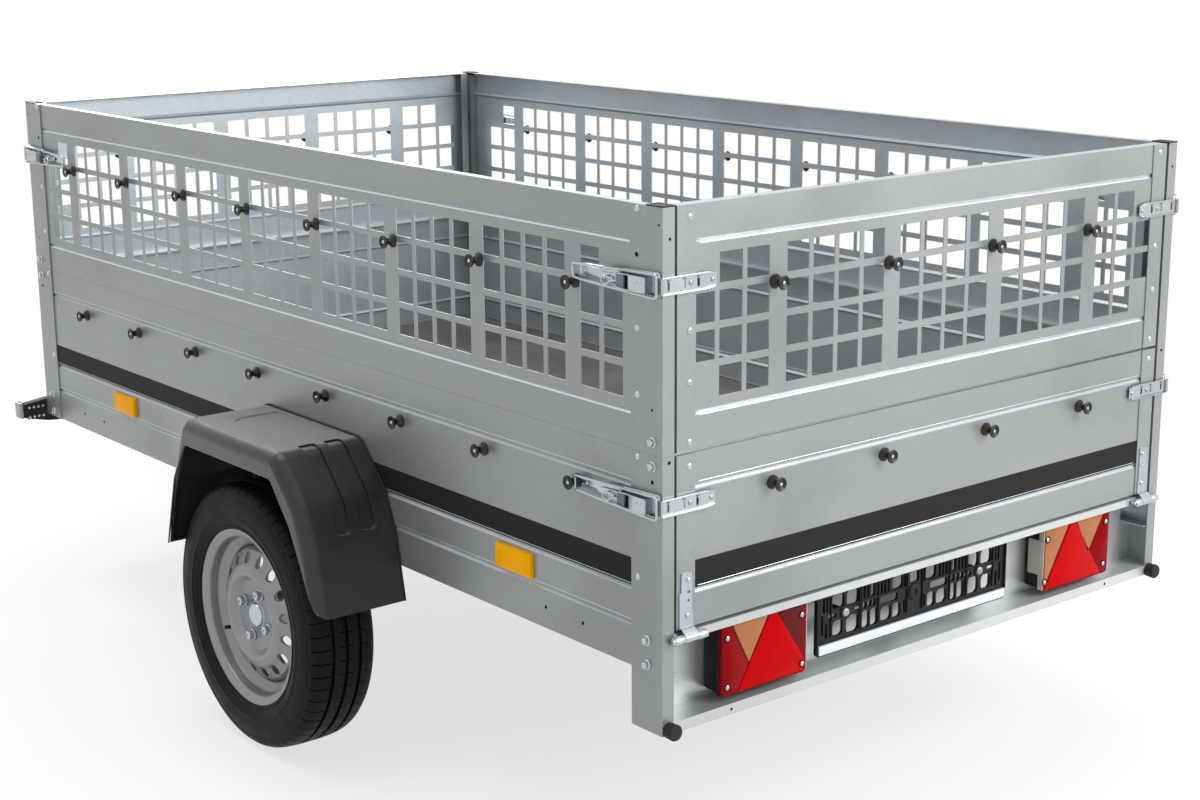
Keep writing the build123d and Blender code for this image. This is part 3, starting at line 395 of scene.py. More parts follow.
# ---------------------------------------------------------------- modelling

MODES = {"vertices": "VERT", "edges": "EDGE", "polygons": "FACE"}


def fresh():
    """Nothing selected and nothing active."""
    if bpy.context.object and bpy.context.object.mode != "OBJECT":
        bpy.ops.object.mode_set(mode="OBJECT")
    bpy.ops.object.select_all(action="DESELECT")


def only(piece):
    fresh()
    piece.select_set(True)
    bpy.context.view_layer.objects.active = piece


def named(piece, name):
    piece.name = piece.data.name = name
    return piece


def settle(piece):
    """Puts the piece's place into its mesh, so that its object sits at the origin."""
    only(piece)
    bpy.ops.object.transform_apply(location=True, rotation=True, scale=True)
    return piece


def edit(piece):
    only(piece)
    bpy.ops.object.mode_set(mode="EDIT")
    bpy.ops.mesh.select_all(action="SELECT")


def done():
    bpy.ops.mesh.select_mode(type="VERT")
    bpy.ops.object.mode_set(mode="OBJECT")


def pick(piece, kind, chosen):
    """Edit mode, with the chosen vertices, edges or polygons selected."""
    edit(piece)
    bpy.ops.mesh.select_all(action="DESELECT")
    bpy.ops.mesh.select_mode(type=MODES[kind])
    bpy.ops.object.mode_set(mode="OBJECT")
    for part in getattr(piece.data, kind):
        part.select = chosen(part)
    bpy.ops.object.mode_set(mode="EDIT")


def sealed(piece, merge=MERGE):
    """Merges vertices that meet and turns every face outward."""
    edit(piece)
    bpy.ops.mesh.remove_doubles(threshold=merge)
    bpy.ops.mesh.normals_make_consistent(inside=False)
    done()
    return piece


def applied(piece, kind, **values):
    """Puts a modifier on the piece and applies it."""
    only(piece)
    made = piece.modifiers.new("Step", kind)
    for key, value in values.items():
        setattr(made, key, value)
    bpy.ops.object.modifier_apply(modifier=made.name)
    return piece


def bevelled(piece, width, segments=2):
    """Rounds every edge of the piece that turns by more than a third of a right angle."""
    return applied(piece, "BEVEL", width=width / 1000, segments=segments,
                   limit_method="ANGLE", angle_limit=radians(30))


def cut(piece, cutter):
    """Takes the cutter out of the piece."""
    applied(piece, "BOOLEAN", operation="DIFFERENCE", solver="EXACT", object=cutter)
    only(cutter)
    bpy.ops.object.delete()
    return piece


def outline_of(points, closed=True, fill="NOTHING"):
    """A loop, a chain of edges or a flat face through points of the frame."""
    fresh()
    bpy.ops.mesh.primitive_circle_add(vertices=len(points), radius=1, fill_type=fill)
    piece = bpy.context.object
    for vertex, point in zip(piece.data.vertices, points):
        vertex.co = point
    if not closed:
        pick(piece, "edges", lambda edge: set(edge.vertices) == {0, len(points) - 1})
        bpy.ops.mesh.delete(type="EDGE")
        done()
    return piece


def arcs(points, steps=0):
    """A path of plane points. A third value rounds the corner with that radius."""
    path = []
    for k, (x, y, *radius) in enumerate(points):
        if not radius or k in (0, len(points) - 1):
            path.append((x, y))
            continue
        here = Vector((x, y, 0))
        back = (Vector((*points[k - 1][:2], 0)) - here).normalized()
        ahead = (Vector((*points[k + 1][:2], 0)) - here).normalized()
        half = back.angle(ahead) / 2
        reach = radius[0] / max(sin(half) / cos(half), 0.01)
        middle = here + (back + ahead).normalized() * (radius[0] / sin(half))
        first, final = here + back * reach - middle, here + ahead * reach - middle
        for j in range(steps + 1):
            t = j / steps
            way = (first * (1 - t) + final * t).normalized() * radius[0]
            path.append(((middle + way).x, (middle + way).y))
    return path


def ring(points, steps):
    """A closed path with rounded corners. Its first corner stays sharp."""
    return arcs([*points, points[0]], steps)[:-1]


def rounded_rect(u0, u1, v0, v1, radius, steps=4):
    """A flat rectangle with rounded corners."""
    corners = [(u, v, radius) for u, v in ((u0, v0), (u1, v0), (u1, v1), (u0, v1))]
    return ring([(u0, (v0 + v1) / 2), *corners], steps)


def block(x0, x1, y0, y1, z0, z1, bevel=0.0, segments=2):
    """A box between two corners, with rounded edges."""
    fresh()
    low, high = spot(x0, y0, z0), spot(x1, y1, z1)
    bpy.ops.mesh.primitive_cube_add(size=1, location=(low + high) / 2, scale=high - low)
    piece = settle(bpy.context.object)
    return bevelled(piece, bevel, segments) if bevel else piece


def sheet(places, thickness, way, bevel=0.0, segments=2):
    """A flat plate: its outline as places, pushed through along way."""
    piece = outline_of([spot(*place) for place in places], fill="NGON")
    edit(piece)
    push = Vector(way).normalized() * (thickness / 1000)
    bpy.ops.mesh.extrude_region_move(TRANSFORM_OT_translate={"value": push})
    bpy.ops.mesh.select_all(action="SELECT")
    bpy.ops.mesh.normals_make_consistent(inside=False)
    done()
    return bevelled(piece, bevel, segments) if bevel else piece


def plate_x(outline, x0, x1, bevel=0.0, segments=2):
    """A plate facing the side, with its outline in y and z, from x0 to x1."""
    return sheet([(x0, y, z) for y, z in outline], x1 - x0, (1, 0, 0), bevel, segments)


def plate_y(outline, y0, y1, bevel=0.0, segments=2):
    """A plate facing the rear, with its outline in x and z, from y0 to y1."""
    return sheet([(x, y0, z) for x, z in outline], y1 - y0, (0, 1, 0), bevel, segments)


def plate_z(outline, z0, z1, bevel=0.0, segments=2):
    """A plate lying flat, with its outline in x and y, from z0 to z1."""
    return sheet([(x, y, z0) for x, y in outline], z1 - z0, (0, 0, 1), bevel, segments)


def lathe(points, at, axis, steps, rounding=0, closed=False):
    """A turned piece. Points are (along the axis, radius) from the place at, and may have
    a third value that rounds the corner, in as many steps as rounding says."""
    profile = ring(points, rounding) if closed else arcs(points, rounding)
    centre = spot(*at)
    way = Vector([float(name == axis) for name in "xyz"])
    side = Vector((1, 0, 0)) if axis == "z" else Vector((0, 0, 1))
    piece = outline_of([centre + way * (along / 1000) + side * (radius / 1000)
                        for along, radius in profile], closed)
    edit(piece)
    bpy.ops.mesh.spin(steps=steps, angle=2 * pi, center=centre, axis=way)
    done()
    return sealed(piece)


def wire(places, radius, closed=False, steps=2):
    """A round rod bent along places."""
    points = [spot(*place) for place in places]
    if len(points) == 2:
        points.insert(1, (points[0] + points[1]) / 2)
    only(outline_of(points, closed))
    bpy.ops.object.convert(target="CURVE")
    curve = bpy.context.object.data
    curve.bevel_depth = radius / 1000
    curve.bevel_resolution = steps
    curve.use_fill_caps = not closed
    bpy.ops.object.convert(target="MESH")
    return sealed(bpy.context.object, MERGE / 2)


def hexagon(at, radius, height, bevel):
    """A bolt's head with its axis across the trailer."""
    fresh()
    bpy.ops.mesh.primitive_cylinder_add(vertices=6, radius=radius / 1000, depth=height / 1000,
                                        location=spot(*at), rotation=(0, radians(90), 0))
    return bevelled(settle(bpy.context.object), bevel)


def rod_y(x, z, radius, y0, y1):
    """A short turned rod along the trailer, with softened ends."""
    return lathe([(y0, AXIS), (y0, radius, 0.8), (y1, radius, 0.8), (y1, AXIS)], (x, 0, z),
                 "y", 24, 2)


def rivet(at, axis, base, *rows):
    """A rivet's head: rows are (rise, radius, rounding) from its base."""
    points = [(base, AXIS), *((base - rise, *rest) for rise, *rest in rows)]
    return lathe([*points, (points[-1][0], AXIS)], at, axis, 18, 3)


# ---------------------------------------------------------------- copies and finishing

MIRROR = Matrix.Diagonal((-1, 1, 1, 1))
TO_FRONT = (Matrix.Translation((0, POST_LOW[1] + POST_HIGH[1], 0))
            @ Matrix.Diagonal((1, -1, 1, 1)))


def placed(piece, matrix):
    """Moves a piece by a matrix of the frame, which may mirror it."""
    piece.matrix_world = matrix @ piece.matrix_world
    settle(piece)
    if matrix.determinant() < 0:
        edit(piece)
        bpy.ops.mesh.flip_normals()
        done()
    return piece


def again(piece, matrix):
    """A copy with its own mesh, moved by a matrix of the frame."""
    only(piece)
    bpy.ops.object.duplicate(linked=False)
    return placed(bpy.context.object, matrix)


def both(pieces, matrix=MIRROR):
    """The pieces and their copies, mirrored to the other side."""
    return [*pieces, *(again(piece, matrix) for piece in pieces)]


def joined(pieces, name):
    """Several pieces as one object."""
    fresh()
    for piece in pieces:
        piece.select_set(True)
    bpy.context.view_layer.objects.active = pieces[0]
    if len(pieces) > 1:
        bpy.ops.object.join()
    return named(bpy.context.object, name)


def dressed(piece, finish, body="chassis", slot=None, angle=35):
    """Gives a finished piece its material and its body; its slot is looked up but not kept."""
    only(piece)
    bpy.ops.object.shade_smooth_by_angle(angle=radians(angle))
    piece.data.materials.clear()
    piece.data.materials.append(FINISHES[finish])
    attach(piece, body)
    slot or FINISH_SLOTS[finish]
    return piece


def finished(pieces, name, finish, *nodes, **how):
    """Joins the pieces into a named one with its finish, for the nodes that it stands for."""
    piece = dressed(joined(pieces, name), finish, **how)
    if nodes:
        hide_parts(*nodes)
    return piece


def pair(piece, name, finish, source=None, wheel=True, shared=False, **how):
    """Finishes a piece of the left side and its mirrored copy, for the nodes of their sides.

    shared says that the copy stands for the left node as well."""
    sides = ("left", "right")
    made = both([piece])
    for k, half in enumerate(made):
        body = "wheel_" + sides[k] if wheel else "chassis"
        dressed(named(half, name + sides[k]), finish, body, **how)
        if source:
            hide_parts(*(source + side for side in sides[0 if shared else k:k + 1]))
    return made


# ---------------------------------------------------------------- the frame's own pieces

class TRAILER_OT_frame_finish(bpy.types.Operator):
    """Give every piece of the frame its material"""
    bl_idname = "trailer.frame_finish"
    bl_label = "Frame finishes"

    def execute(self, context):
        make_finishes()
        for name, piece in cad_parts.items():
            for slot in piece.material_slots:
                slot.material = FINISHES[NODE_FINISHES[name]]
        return {"FINISHED"}


# ---------------------------------------------------------------- wheels

TREAD_BLOCKS = 60
SIPE_WIDTH = 2.4
SIPE_SPREAD = 3.5   # the widest that a sipe's floor may be
SIPE_AREA = 3.92e-5     # square metres, the largest that a face of its floor may be
SIPE_DEPTH = 4.2
TREAD_REACH = 24    # how far below the tread its rows are turned
SWEEPS = (          # distance from the middle, from and to, and turn of that row
    (8, 20, 0.012), (33.4, 40, 0.004), (40, 50, 0.024), (50, 59, 0.042), (59, 64, 0.052),
    (64, 72, 0.058),
)
VENTS = 16
VENT_RING = 118.5
BOLTS = 4
BOLT_RING = 50
FIRST_BOLT = 68     # degrees, from the rear and upward
VALVE_ANGLE = 207


def wheel_place(out=0.0, radius=0.0, angle=0.0):
    """A place on the left wheel: out from its middle, at a radius and an angle from the rear."""
    return WHEEL_X - out, WHEEL_Y - radius * cos(angle), WHEEL_Z + radius * sin(angle)


def wheel_turned(points, steps, rounding=0, at=None, closed=True):
    """A turned piece of the left wheel. Points are (out from the wheel's middle, radius)."""
    return lathe([(-out, *rest) for out, *rest in points], at or wheel_place(), "x", steps,
                 rounding, closed)


class TRAILER_OT_tyres(bpy.types.Operator):
    """Model the tyres with their grooves, sipes and side wall rings"""
    bl_idname = "trailer.tyres"
    bl_label = "Tyres"

    def execute(self, context):
        pair(self.tyre(), "Tyre_", "tyre", "tyre_", angle=28)
        return {"FINISHED"}

    def half_section(self):
        """From the middle of the tread out to the bead: distance from the middle, radius."""
        r = TYRE_RADIUS
        deep = sizes_of().tread_depth * 1000
        return [
            (3.6, r - deep), (4.4, r - 0.2), (14, r - 0.1), (26, r - 0.4), (26.8, r - deep),
            (33.0, r - deep), (33.8, r - 0.8), (46, r - 1.9), (56, r - 3.9), (62, r - 6.6),
            (66.5, r - 10.5), (70.0, r - 16.5), (71.2, r - 22.0), (70.6, r - 23.4),
            (71.4, r - 25.0), (73.8, r - 34), (75.4, r - 46), (75.8, r - 54), (75.2, r - 62),
            (76.0, r - 64), (75.9, r - 66.5), (74.6, r - 68.0), (73.0, r - 76),
            (69.4, r - 84), (70.6, r - 86), (70.4, r - 88.5), (67.2, r - 91),
            (62.5, 172.0), (58, 169.0),
        ]

    def tyre(self):
        half = self.half_section()
        inner = [(49, 168.6), (57, 185), (66, 222), (62, 252), (0, 258)]
        profile = [(-a, b) for a, b in half[::-1]] + half
        profile += inner + [(-a, b) for a, b in inner[-2::-1]]
        piece = outline_of([spot(*wheel_place(out, radius)) for out, radius in profile])
        centre = spot(*wheel_place())
        sipe = SIPE_WIDTH / TYRE_RADIUS
        edit(piece)
        for k in range(TREAD_BLOCKS):
            for steps, angle in ((1, sipe), (3, 2 * pi / TREAD_BLOCKS - sipe)):
                bpy.ops.mesh.spin(steps=steps, angle=angle, center=centre, axis=(1, 0, 0))
        done()
        sealed(piece)
        pick(piece, "polygons", lambda face: self.is_sipe(piece, face, centre))
        bpy.ops.mesh.extrude_region_shrink_fatten(
            TRANSFORM_OT_shrink_fatten={"value": -SIPE_DEPTH / 1000})
        bpy.ops.mesh.select_mode(type="VERT")
        self.sweep(piece, centre)
        done()
        return piece

    def is_sipe(self, piece, face, centre):
        """True for a face between the two sides of a sipe, on the shoulder or the rib."""
        at = face.center - centre
        out, sunk = abs(at.x) * 1000, TYRE_RADIUS / 1000 - hypot(at.y, at.z)
        if not (34 < out < 69 and sunk < 0.015 or 5 < out < 14 and sunk < 0.003):
            return False
        if face.area >= SIPE_AREA:
            return False
        corners = [piece.data.vertices[v].co - centre for v in face.vertices]
        angles = [atan2(corner.z, corner.y) for corner in corners]
        spread = max(angles) - min(angles)
        return min(spread, 2 * pi - spread) < SIPE_SPREAD / TYRE_RADIUS

    def sweep(self, piece, centre):
        """Turns the tread's rows a little about the axle, which slants and curves the sipes.

        What is selected stays so through its edges and faces, and turns with each later row:
        the sipes' floors and the outer rows turn back again, the inner rows stay turned."""
        floor = (TYRE_RADIUS - TREAD_REACH) / 1000
        for low, high, turn in SWEEPS:
            for sign in (1, -1):
                bpy.ops.object.mode_set(mode="OBJECT")
                for vertex in piece.data.vertices:
                    at = vertex.co - centre
                    vertex.select = (low < -sign * at.x * 1000 <= high
                                     and hypot(at.y, at.z) > floor)
                bpy.ops.object.mode_set(mode="EDIT")
                bpy.ops.transform.rotate(value=turn * sign, orient_axis="X",
                                         center_override=centre)


class TRAILER_OT_rims(bpy.types.Operator):
    """Model the pressed rims with their vents, wheel bolts and valves"""
    bl_idname = "trailer.rims"
    bl_label = "Rims"

    def execute(self, context):
        pair(self.rim(), "Rim_", "rim", "rim_", shared=True, angle=40)
        pair(self.bolts(), "Wheel_bolts_", "bright", angle=40)
        pair(self.valve(), "Valve_", "rubber", angle=40)
        return {"FINISHED"}

    def rim(self):
        barrel = wheel_turned(
            [(64.6, 184.6), (64.0, 176.5, 4), (58, 165.5, 5), (37, 163.0, 6), (25, 143, 9),
             (-14, 143, 9), (-36, 163, 6), (-58, 165.5, 5), (-64.0, 176.5, 4), (-64.6, 184.6),
             (-66.5, 184.2), (-66.4, 175.5, 6), (-59, 162.5, 7), (-37, 160.2, 8),
             (-15.5, 140.2, 7), (26, 140.2, 7), (38.5, 160.2, 8), (59, 162.6, 7),
             (66.4, 175.5, 6), (66.5, 184.2)], 96, 4)
        disc = wheel_turned(
            [(22, 141), (36, 133, 8), (45.5, 112, 6), (52, 104, 6), (57.5, 91, 5),
             (56, 82, 5), (41, 71, 7), (39.5, 36, 3), (43, 32.5, 1.2), (39.8, 30.2, 1.2),
             (36.5, 34, 3), (36.5, 73, 9), (52, 84, 3), (53.6, 90.5, 3), (48.6, 102, 5),
             (42, 110.5, 5), (32.5, 130.5, 8), (18, 141)], 96, 4)
        cutters = [self.vent(2 * pi * (k + 0.5) / VENTS) for k in range(VENTS)]
        cut(disc, joined(cutters, "Vents"))
        for k in range(BOLTS):
            cut(disc, wheel_turned([(60, 12.5), (38.5, 12.5), (34, 8), (34, AXIS), (60, AXIS)],
                                   24, 0, self.bolt_place(k)))
        return joined([barrel, disc], "Rim")

    def vent(self, angle):
        """Cutter for a vent, closed at both ends."""
        cutter = wheel_turned([(70, 13.4), (46.6, 12.2), (43.4, 10.6), (15, 10.6)], 20, 0,
                              wheel_place(0, VENT_RING, angle), False)
        edit(cutter)
        bpy.ops.mesh.select_all(action="DESELECT")
        bpy.ops.mesh.select_non_manifold()
        bpy.ops.mesh.edge_face_add()
        done()
        return sealed(cutter)

    def bolt_place(self, k, out=0.0):
        return wheel_place(out, BOLT_RING, radians(FIRST_BOLT + 360 / BOLTS * k))

    def bolts(self):
        """The wheel bolts with their hexagons and cones."""
        pieces = []
        for k in range(BOLTS):
            at = self.bolt_place(k)
            cone = wheel_turned([(33, AXIS), (33, 7), (37.5, 11.2), (42.5, 11.2), (43, 10),
                                 (43, AXIS)], 24, 0, at)
            head = hexagon(self.bolt_place(k, 48.5), 9.8, 11.5, 1.1)
            cut(head, wheel_turned([(60, 4.6), (52.6, 3.4), (52.6, AXIS), (60, AXIS)], 16, 0, at))
            pieces += [cone, head]
        return joined(pieces, "Wheel_bolts")

    def valve(self):
        """Rubber valve stem with its cap, leaning out of the rim's well."""
        origin = [-1000 * low for low in POST_LOW]
        stem = lathe([(0, AXIS), (0, 6.2), (8, 5.6), (14, 3.8), (30, 3.6), (31, 4.4),
                      (42, 4.4), (43, 3.2), (43, AXIS)], origin, "z", 16, closed=True)
        foot, tip = [spot(*wheel_place(out, radius, radians(VALVE_ANGLE)))
                     for out, radius in ((26, 139), (58, 112))]
        lean = (tip - foot).to_track_quat("Z", "Y").to_matrix().to_4x4()
        stem.matrix_world = Matrix.Translation(foot) @ lean
        return settle(stem)


class TRAILER_OT_hubs(bpy.types.Operator):
    """Model the hubs with their drums and grease caps"""
    bl_idname = "trailer.hubs"
    bl_label = "Hubs"

    def execute(self, context):
        inner = WHEEL_X - span("hub_left")[1]
        hub = wheel_turned(
            [(inner, 18.2), (inner, 46, 2), (inner + 3, 50, 2), (18, 50, 1), (18, 62, 3),
             (36.2, 62, 1), (36.2, 29.8, 1), (40.5, 29.4, 1), (42.6, 27.4, 1),
             (42.6, 25.5, 1), (33, 25, 2), (inner + 8, 18.2)], 64, 3)
        cap = wheel_turned(
            [(30, 24.6), (41.0, 24.6, 1), (43.4, 24.2, 1), (46.8, 22.4, 2), (48.4, 18.5, 2),
             (48.8, 10, 4), (48.0, AXIS), (46.4, AXIS), (46.8, 17.5, 2), (42, 21.6, 2),
             (30, 22.4)], 48, 4)
        pair(hub, "Hub_", "dull", "hub_", shared=True, slot="hub_steel")
        pair(cap, "Hub_cap_", "bright", slot="hub_steel")
        return {"FINISHED"}


# ---------------------------------------------------------------- fenders

# Places forward and up from the wheel's middle, with the corner's rounding, in tyre radii.
FENDER_OUTLINE = (
    (1.018, 0.357), (0.893, 0.879, 0.221), (0.691, 1.393, 0.125), (-0.684, 1.393, 0.147),
    (-0.971, 1.081, 0.184), (-1.096, 0.787, 0.221), (-1.191, 0.309),
)
FENDER_LIP = (
    (0.978, 0.357), (0.816, 0.912, 0.147), (0.621, 1.206, 0.044), (-0.618, 1.210, 0.051),
    (-0.857, 0.919, 0.147), (-1.000, 0.640, 0.147), (-1.091, 0.445),
)
CHANNELS = ((-128, -91), (-72, -35))
CHANNEL_BEGIN = -0.585      # where a channel begins on the top, in tyre radii
CHANNEL_END = 0.845         # the height where it ends on the rear slope, in tyre radii
CHANNEL_ROUND = 17.0        # rounding of that end
REAR_CORNER = (-0.55, 0.86)     # the skin behind and above this place is the rear corner


class TRAILER_OT_fenders(bpy.types.Operator):
    """Model the moulded fenders with their pressed channels"""
    bl_idname = "trailer.fenders"
    bl_label = "Fenders"

    def execute(self, context):
        fender = self.fender()
        finished(both([self.joint_strip()]), "Fender_trims", "rubber")
        for half in pair(fender, "Fender_", "fender", "fender_", wheel=False, angle=32):
            applied(half, "WEIGHTED_NORMAL", keep_sharp=True)
        return {"FINISHED"}

    def line(self, points):
        """A line of the fender from its points, in millimetres."""
        return arcs([[TYRE_RADIUS * value for value in point] for point in points], 6)

    def places(self, row, x):
        return [(x, WHEEL_Y + p[0], WHEEL_Z + p[1]) for p in row]

    def skin(self, drop):
        """The outline, drop below the surface."""
        path = self.line(FENDER_OUTLINE)
        last = len(path) - 1
        row = []
        for k, point in enumerate(path):
            along = Vector(path[min(k + 1, last)]) - Vector(path[max(k - 1, 0)])
            along.normalize()
            row.append(Vector(point) - Vector((along.y, -along.x)) * drop)
        return row

    def channel_row(self, drop, begin=CHANNEL_BEGIN, end=CHANNEL_END):
        """The skin over the rear corner, from begin on the top to the height end."""
        ahead, low = [TYRE_RADIUS * value for value in REAR_CORNER]
        row = [p for p in self.skin(drop) if p.x < ahead and p.y > low]
        row.insert(0, Vector((begin * TYRE_RADIUS, row[0].y)))
        way = (row[-1] - row[-2]).normalized()
        return [*row, row[-1] + way * ((row[-1].y - end * TYRE_RADIUS) / max(-way.y, 0.1))]

    def band(self, rows, x0, x1):
        """A plate between two rows, from x0 to x1."""
        return sheet(self.places(rows[0] + rows[1][::-1], x0), x1 - x0, (1, 0, 0))

    def channel(self, x0, x1):
        """Cutter for a channel from the top, over the corner and down the rear slope."""
        rows = [self.channel_row(drop) for drop in (4.4, -12.0)]
        cutter = self.band(rows, x0, x1)
        for end, radius in ((-1, CHANNEL_ROUND), (0, 8.0)):
            corners = [spot(*place) for x in (x0, x1)
                       for place in self.places([row[end] for row in rows], x)]
            self.round_edges(cutter, corners, radius)
        return bevelled(cutter, 0.9)

    def round_edges(self, cutter, corners, radius):
        """Rounds the edges of the cutter's two sides that join two of the corners."""
        near = [min((vertex.co - corner).length for corner in corners) < NEAR
                for vertex in cutter.data.vertices]

        def at_corners(edge):
            first, second = [cutter.data.vertices[v].co.x for v in edge.vertices]
            return all(near[v] for v in edge.vertices) and abs(first - second) < NEAR

        pick(cutter, "edges", at_corners)
        bpy.ops.mesh.bevel(offset=radius / 1000, segments=7)
        done()

    def fender(self):
        only(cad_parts["fender_left"])
        bpy.ops.object.duplicate(linked=False)
        piece = self.freed(bpy.context.object)
        sealed(piece)
        edit(piece)
        bpy.ops.mesh.dissolve_limited(angle_limit=radians(1))
        done()
        parts = [piece]
        for x0, x1 in CHANNELS:
            cut(piece, self.channel(x0, x1))
            floor = [self.channel_row(drop, -0.57, 0.82) for drop in (5.0, 7.4)]
            parts += [self.band(floor, x0 - 3, x1 + 3), self.channel_bead(x0, x1)]
        top = TYRE_RADIUS * FENDER_OUTLINE[2][1]
        cut(piece, sheet(
            [(x, WHEEL_Y + y, WHEEL_Z + top + z) for x, y, z in (
                (-126, -66, 0.6), (-126, 76, -2.13), (-119, 94, -2.47), (-96, 111, -2.8),
                (-12, 111, -2.8), (-12, -66, 0.6))], 20, (0, 0, 1)))
        cut(piece, plate_y(ring([(-200, 30), (-160, 30), (-160, 34.6), (-195.4, 34.6, 32),
                                 (-195.4, 72), (-200, 72)], 8), 735, 855))
        parts.append(wire(self.places(self.line(FENDER_LIP), -193.2), 1.7))
        return joined(parts, "Fender")

    def freed(self, piece):
        """Makes a copy of a node of the frame an object of its own."""
        for key in list(piece.keys()):
            if key.startswith("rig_"):
                del piece[key]
        keep = piece.matrix_world.copy()
        piece.parent = None
        piece.matrix_world = keep
        piece.data.materials.clear()
        return piece

    def channel_bead(self, x0, x1):
        """The raised line round a channel: down one side, round its end and up the other."""
        *row, foot = self.channel_row(0.7)
        way = (foot - row[-1]).normalized()
        bend = foot - way * CHANNEL_ROUND
        line = self.places([*row, bend], x0)
        for k in range(1, 12):
            turn = pi * k / 12
            x = (x0 + x1) / 2 - cos(turn) * (x1 - x0) / 2
            out = bend + way * (CHANNEL_ROUND * min(1.0, 1.25 * sin(turn)))
            line += self.places([out], x)
        return wire(line + self.places([bend, *reversed(row)], x1), 1.25, steps=1)

    def joint_strip(self):
        """A black strip along the line where the fender meets the board."""
        return wire(self.places(self.skin(-0.6), 0.4), 2.2)


# ---------------------------------------------------------------- rope knobs

KNOB_ROWS = (       # name, body, node, height, offset of the row's middle, pitch
    ("side", "chassis", "side_hooks", 390.5, -20, 267),
    ("mesh_side", "chassis", "mesh_side_hooks", 731, -8, 270),
    ("tailgate", "tailgate", "tailgate_hooks", 390.5, -8, 270),
    ("rear_mesh", "rear_mesh", "mesh_gate_hooks", 731, -8, 270),
    ("front", "chassis", "front_hooks", 390.5, -8, 270),
    ("front_mesh", "front_mesh", "front_mesh_hooks", 731, -8, 270),
)
GROOVE = 3.0        # depth of the wide grooves behind the skin


class TRAILER_OT_knobs(bpy.types.Operator):
    """Model the flared rope knobs and the screws that hold them"""
    bl_idname = "trailer.knobs"
    bl_label = "Rope knobs"

    def execute(self, context):
        for name, body, source, height, offset, pitch in KNOB_ROWS:
            side = name.endswith("side")
            count, length = (8, BODY_LENGTH) if side else (4, BODY_WIDTH)
            row = [length / 2 + offset + (k - (count - 1) / 2) * pitch for k in range(count)]
            places = [(GROOVE, v, height) if side else (v, GROOVE, height) for v in row]
            for kind, model, finish, angle in (
                ("Knobs_", self.knob, "knob", 40), ("Knob_screws_", self.screw, "bright", 35),
            ):
                pieces = [model(place, "x" if side else "y") for place in places]
                piece = joined(both(pieces) if side else pieces, kind + name)
                if name.startswith("front"):
                    placed(piece, TO_FRONT)
                dressed(piece, finish, body, angle=angle)
                if finish == "knob":
                    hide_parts(source)
        return {"FINISHED"}

    def knob(self, at, axis):
        return lathe([(0, AXIS), (0, 12.3, 0.6), (-2.6, 12.3, 1.2), (-8.5, 6.4, 5),
                      (-14, 5.8, 5), (-20.2, 12.4, 2), (-23.6, 12.2, 1.2), (-21.6, 8.6, 1.5),
                      (-20.4, 4.8, 1), (-20.4, AXIS)], at, axis, 24, 3)

    def screw(self, at, axis):
        return lathe([(-20.2, AXIS), (-20.2, 3.4), (-21.6, 3.4, 0.5), (-22.6, 2.6, 0.5),
                      (-22.9, 1.3, 0.2), (-22.0, 0.9), (-22.0, AXIS)], at, axis, 14, 2)


# ---------------------------------------------------------------- rear lamps

LAMP_FROM, LAMP_TO = 137.5, 338.5       # from the body's side
LAMP_FACE = 8.4
LAMP_SCREWS = (
    (151, 134), (151, 46), (325, 136), (327, 46), (987, 135), (982, 50), (1165, 137),
    (1163, 50),
)


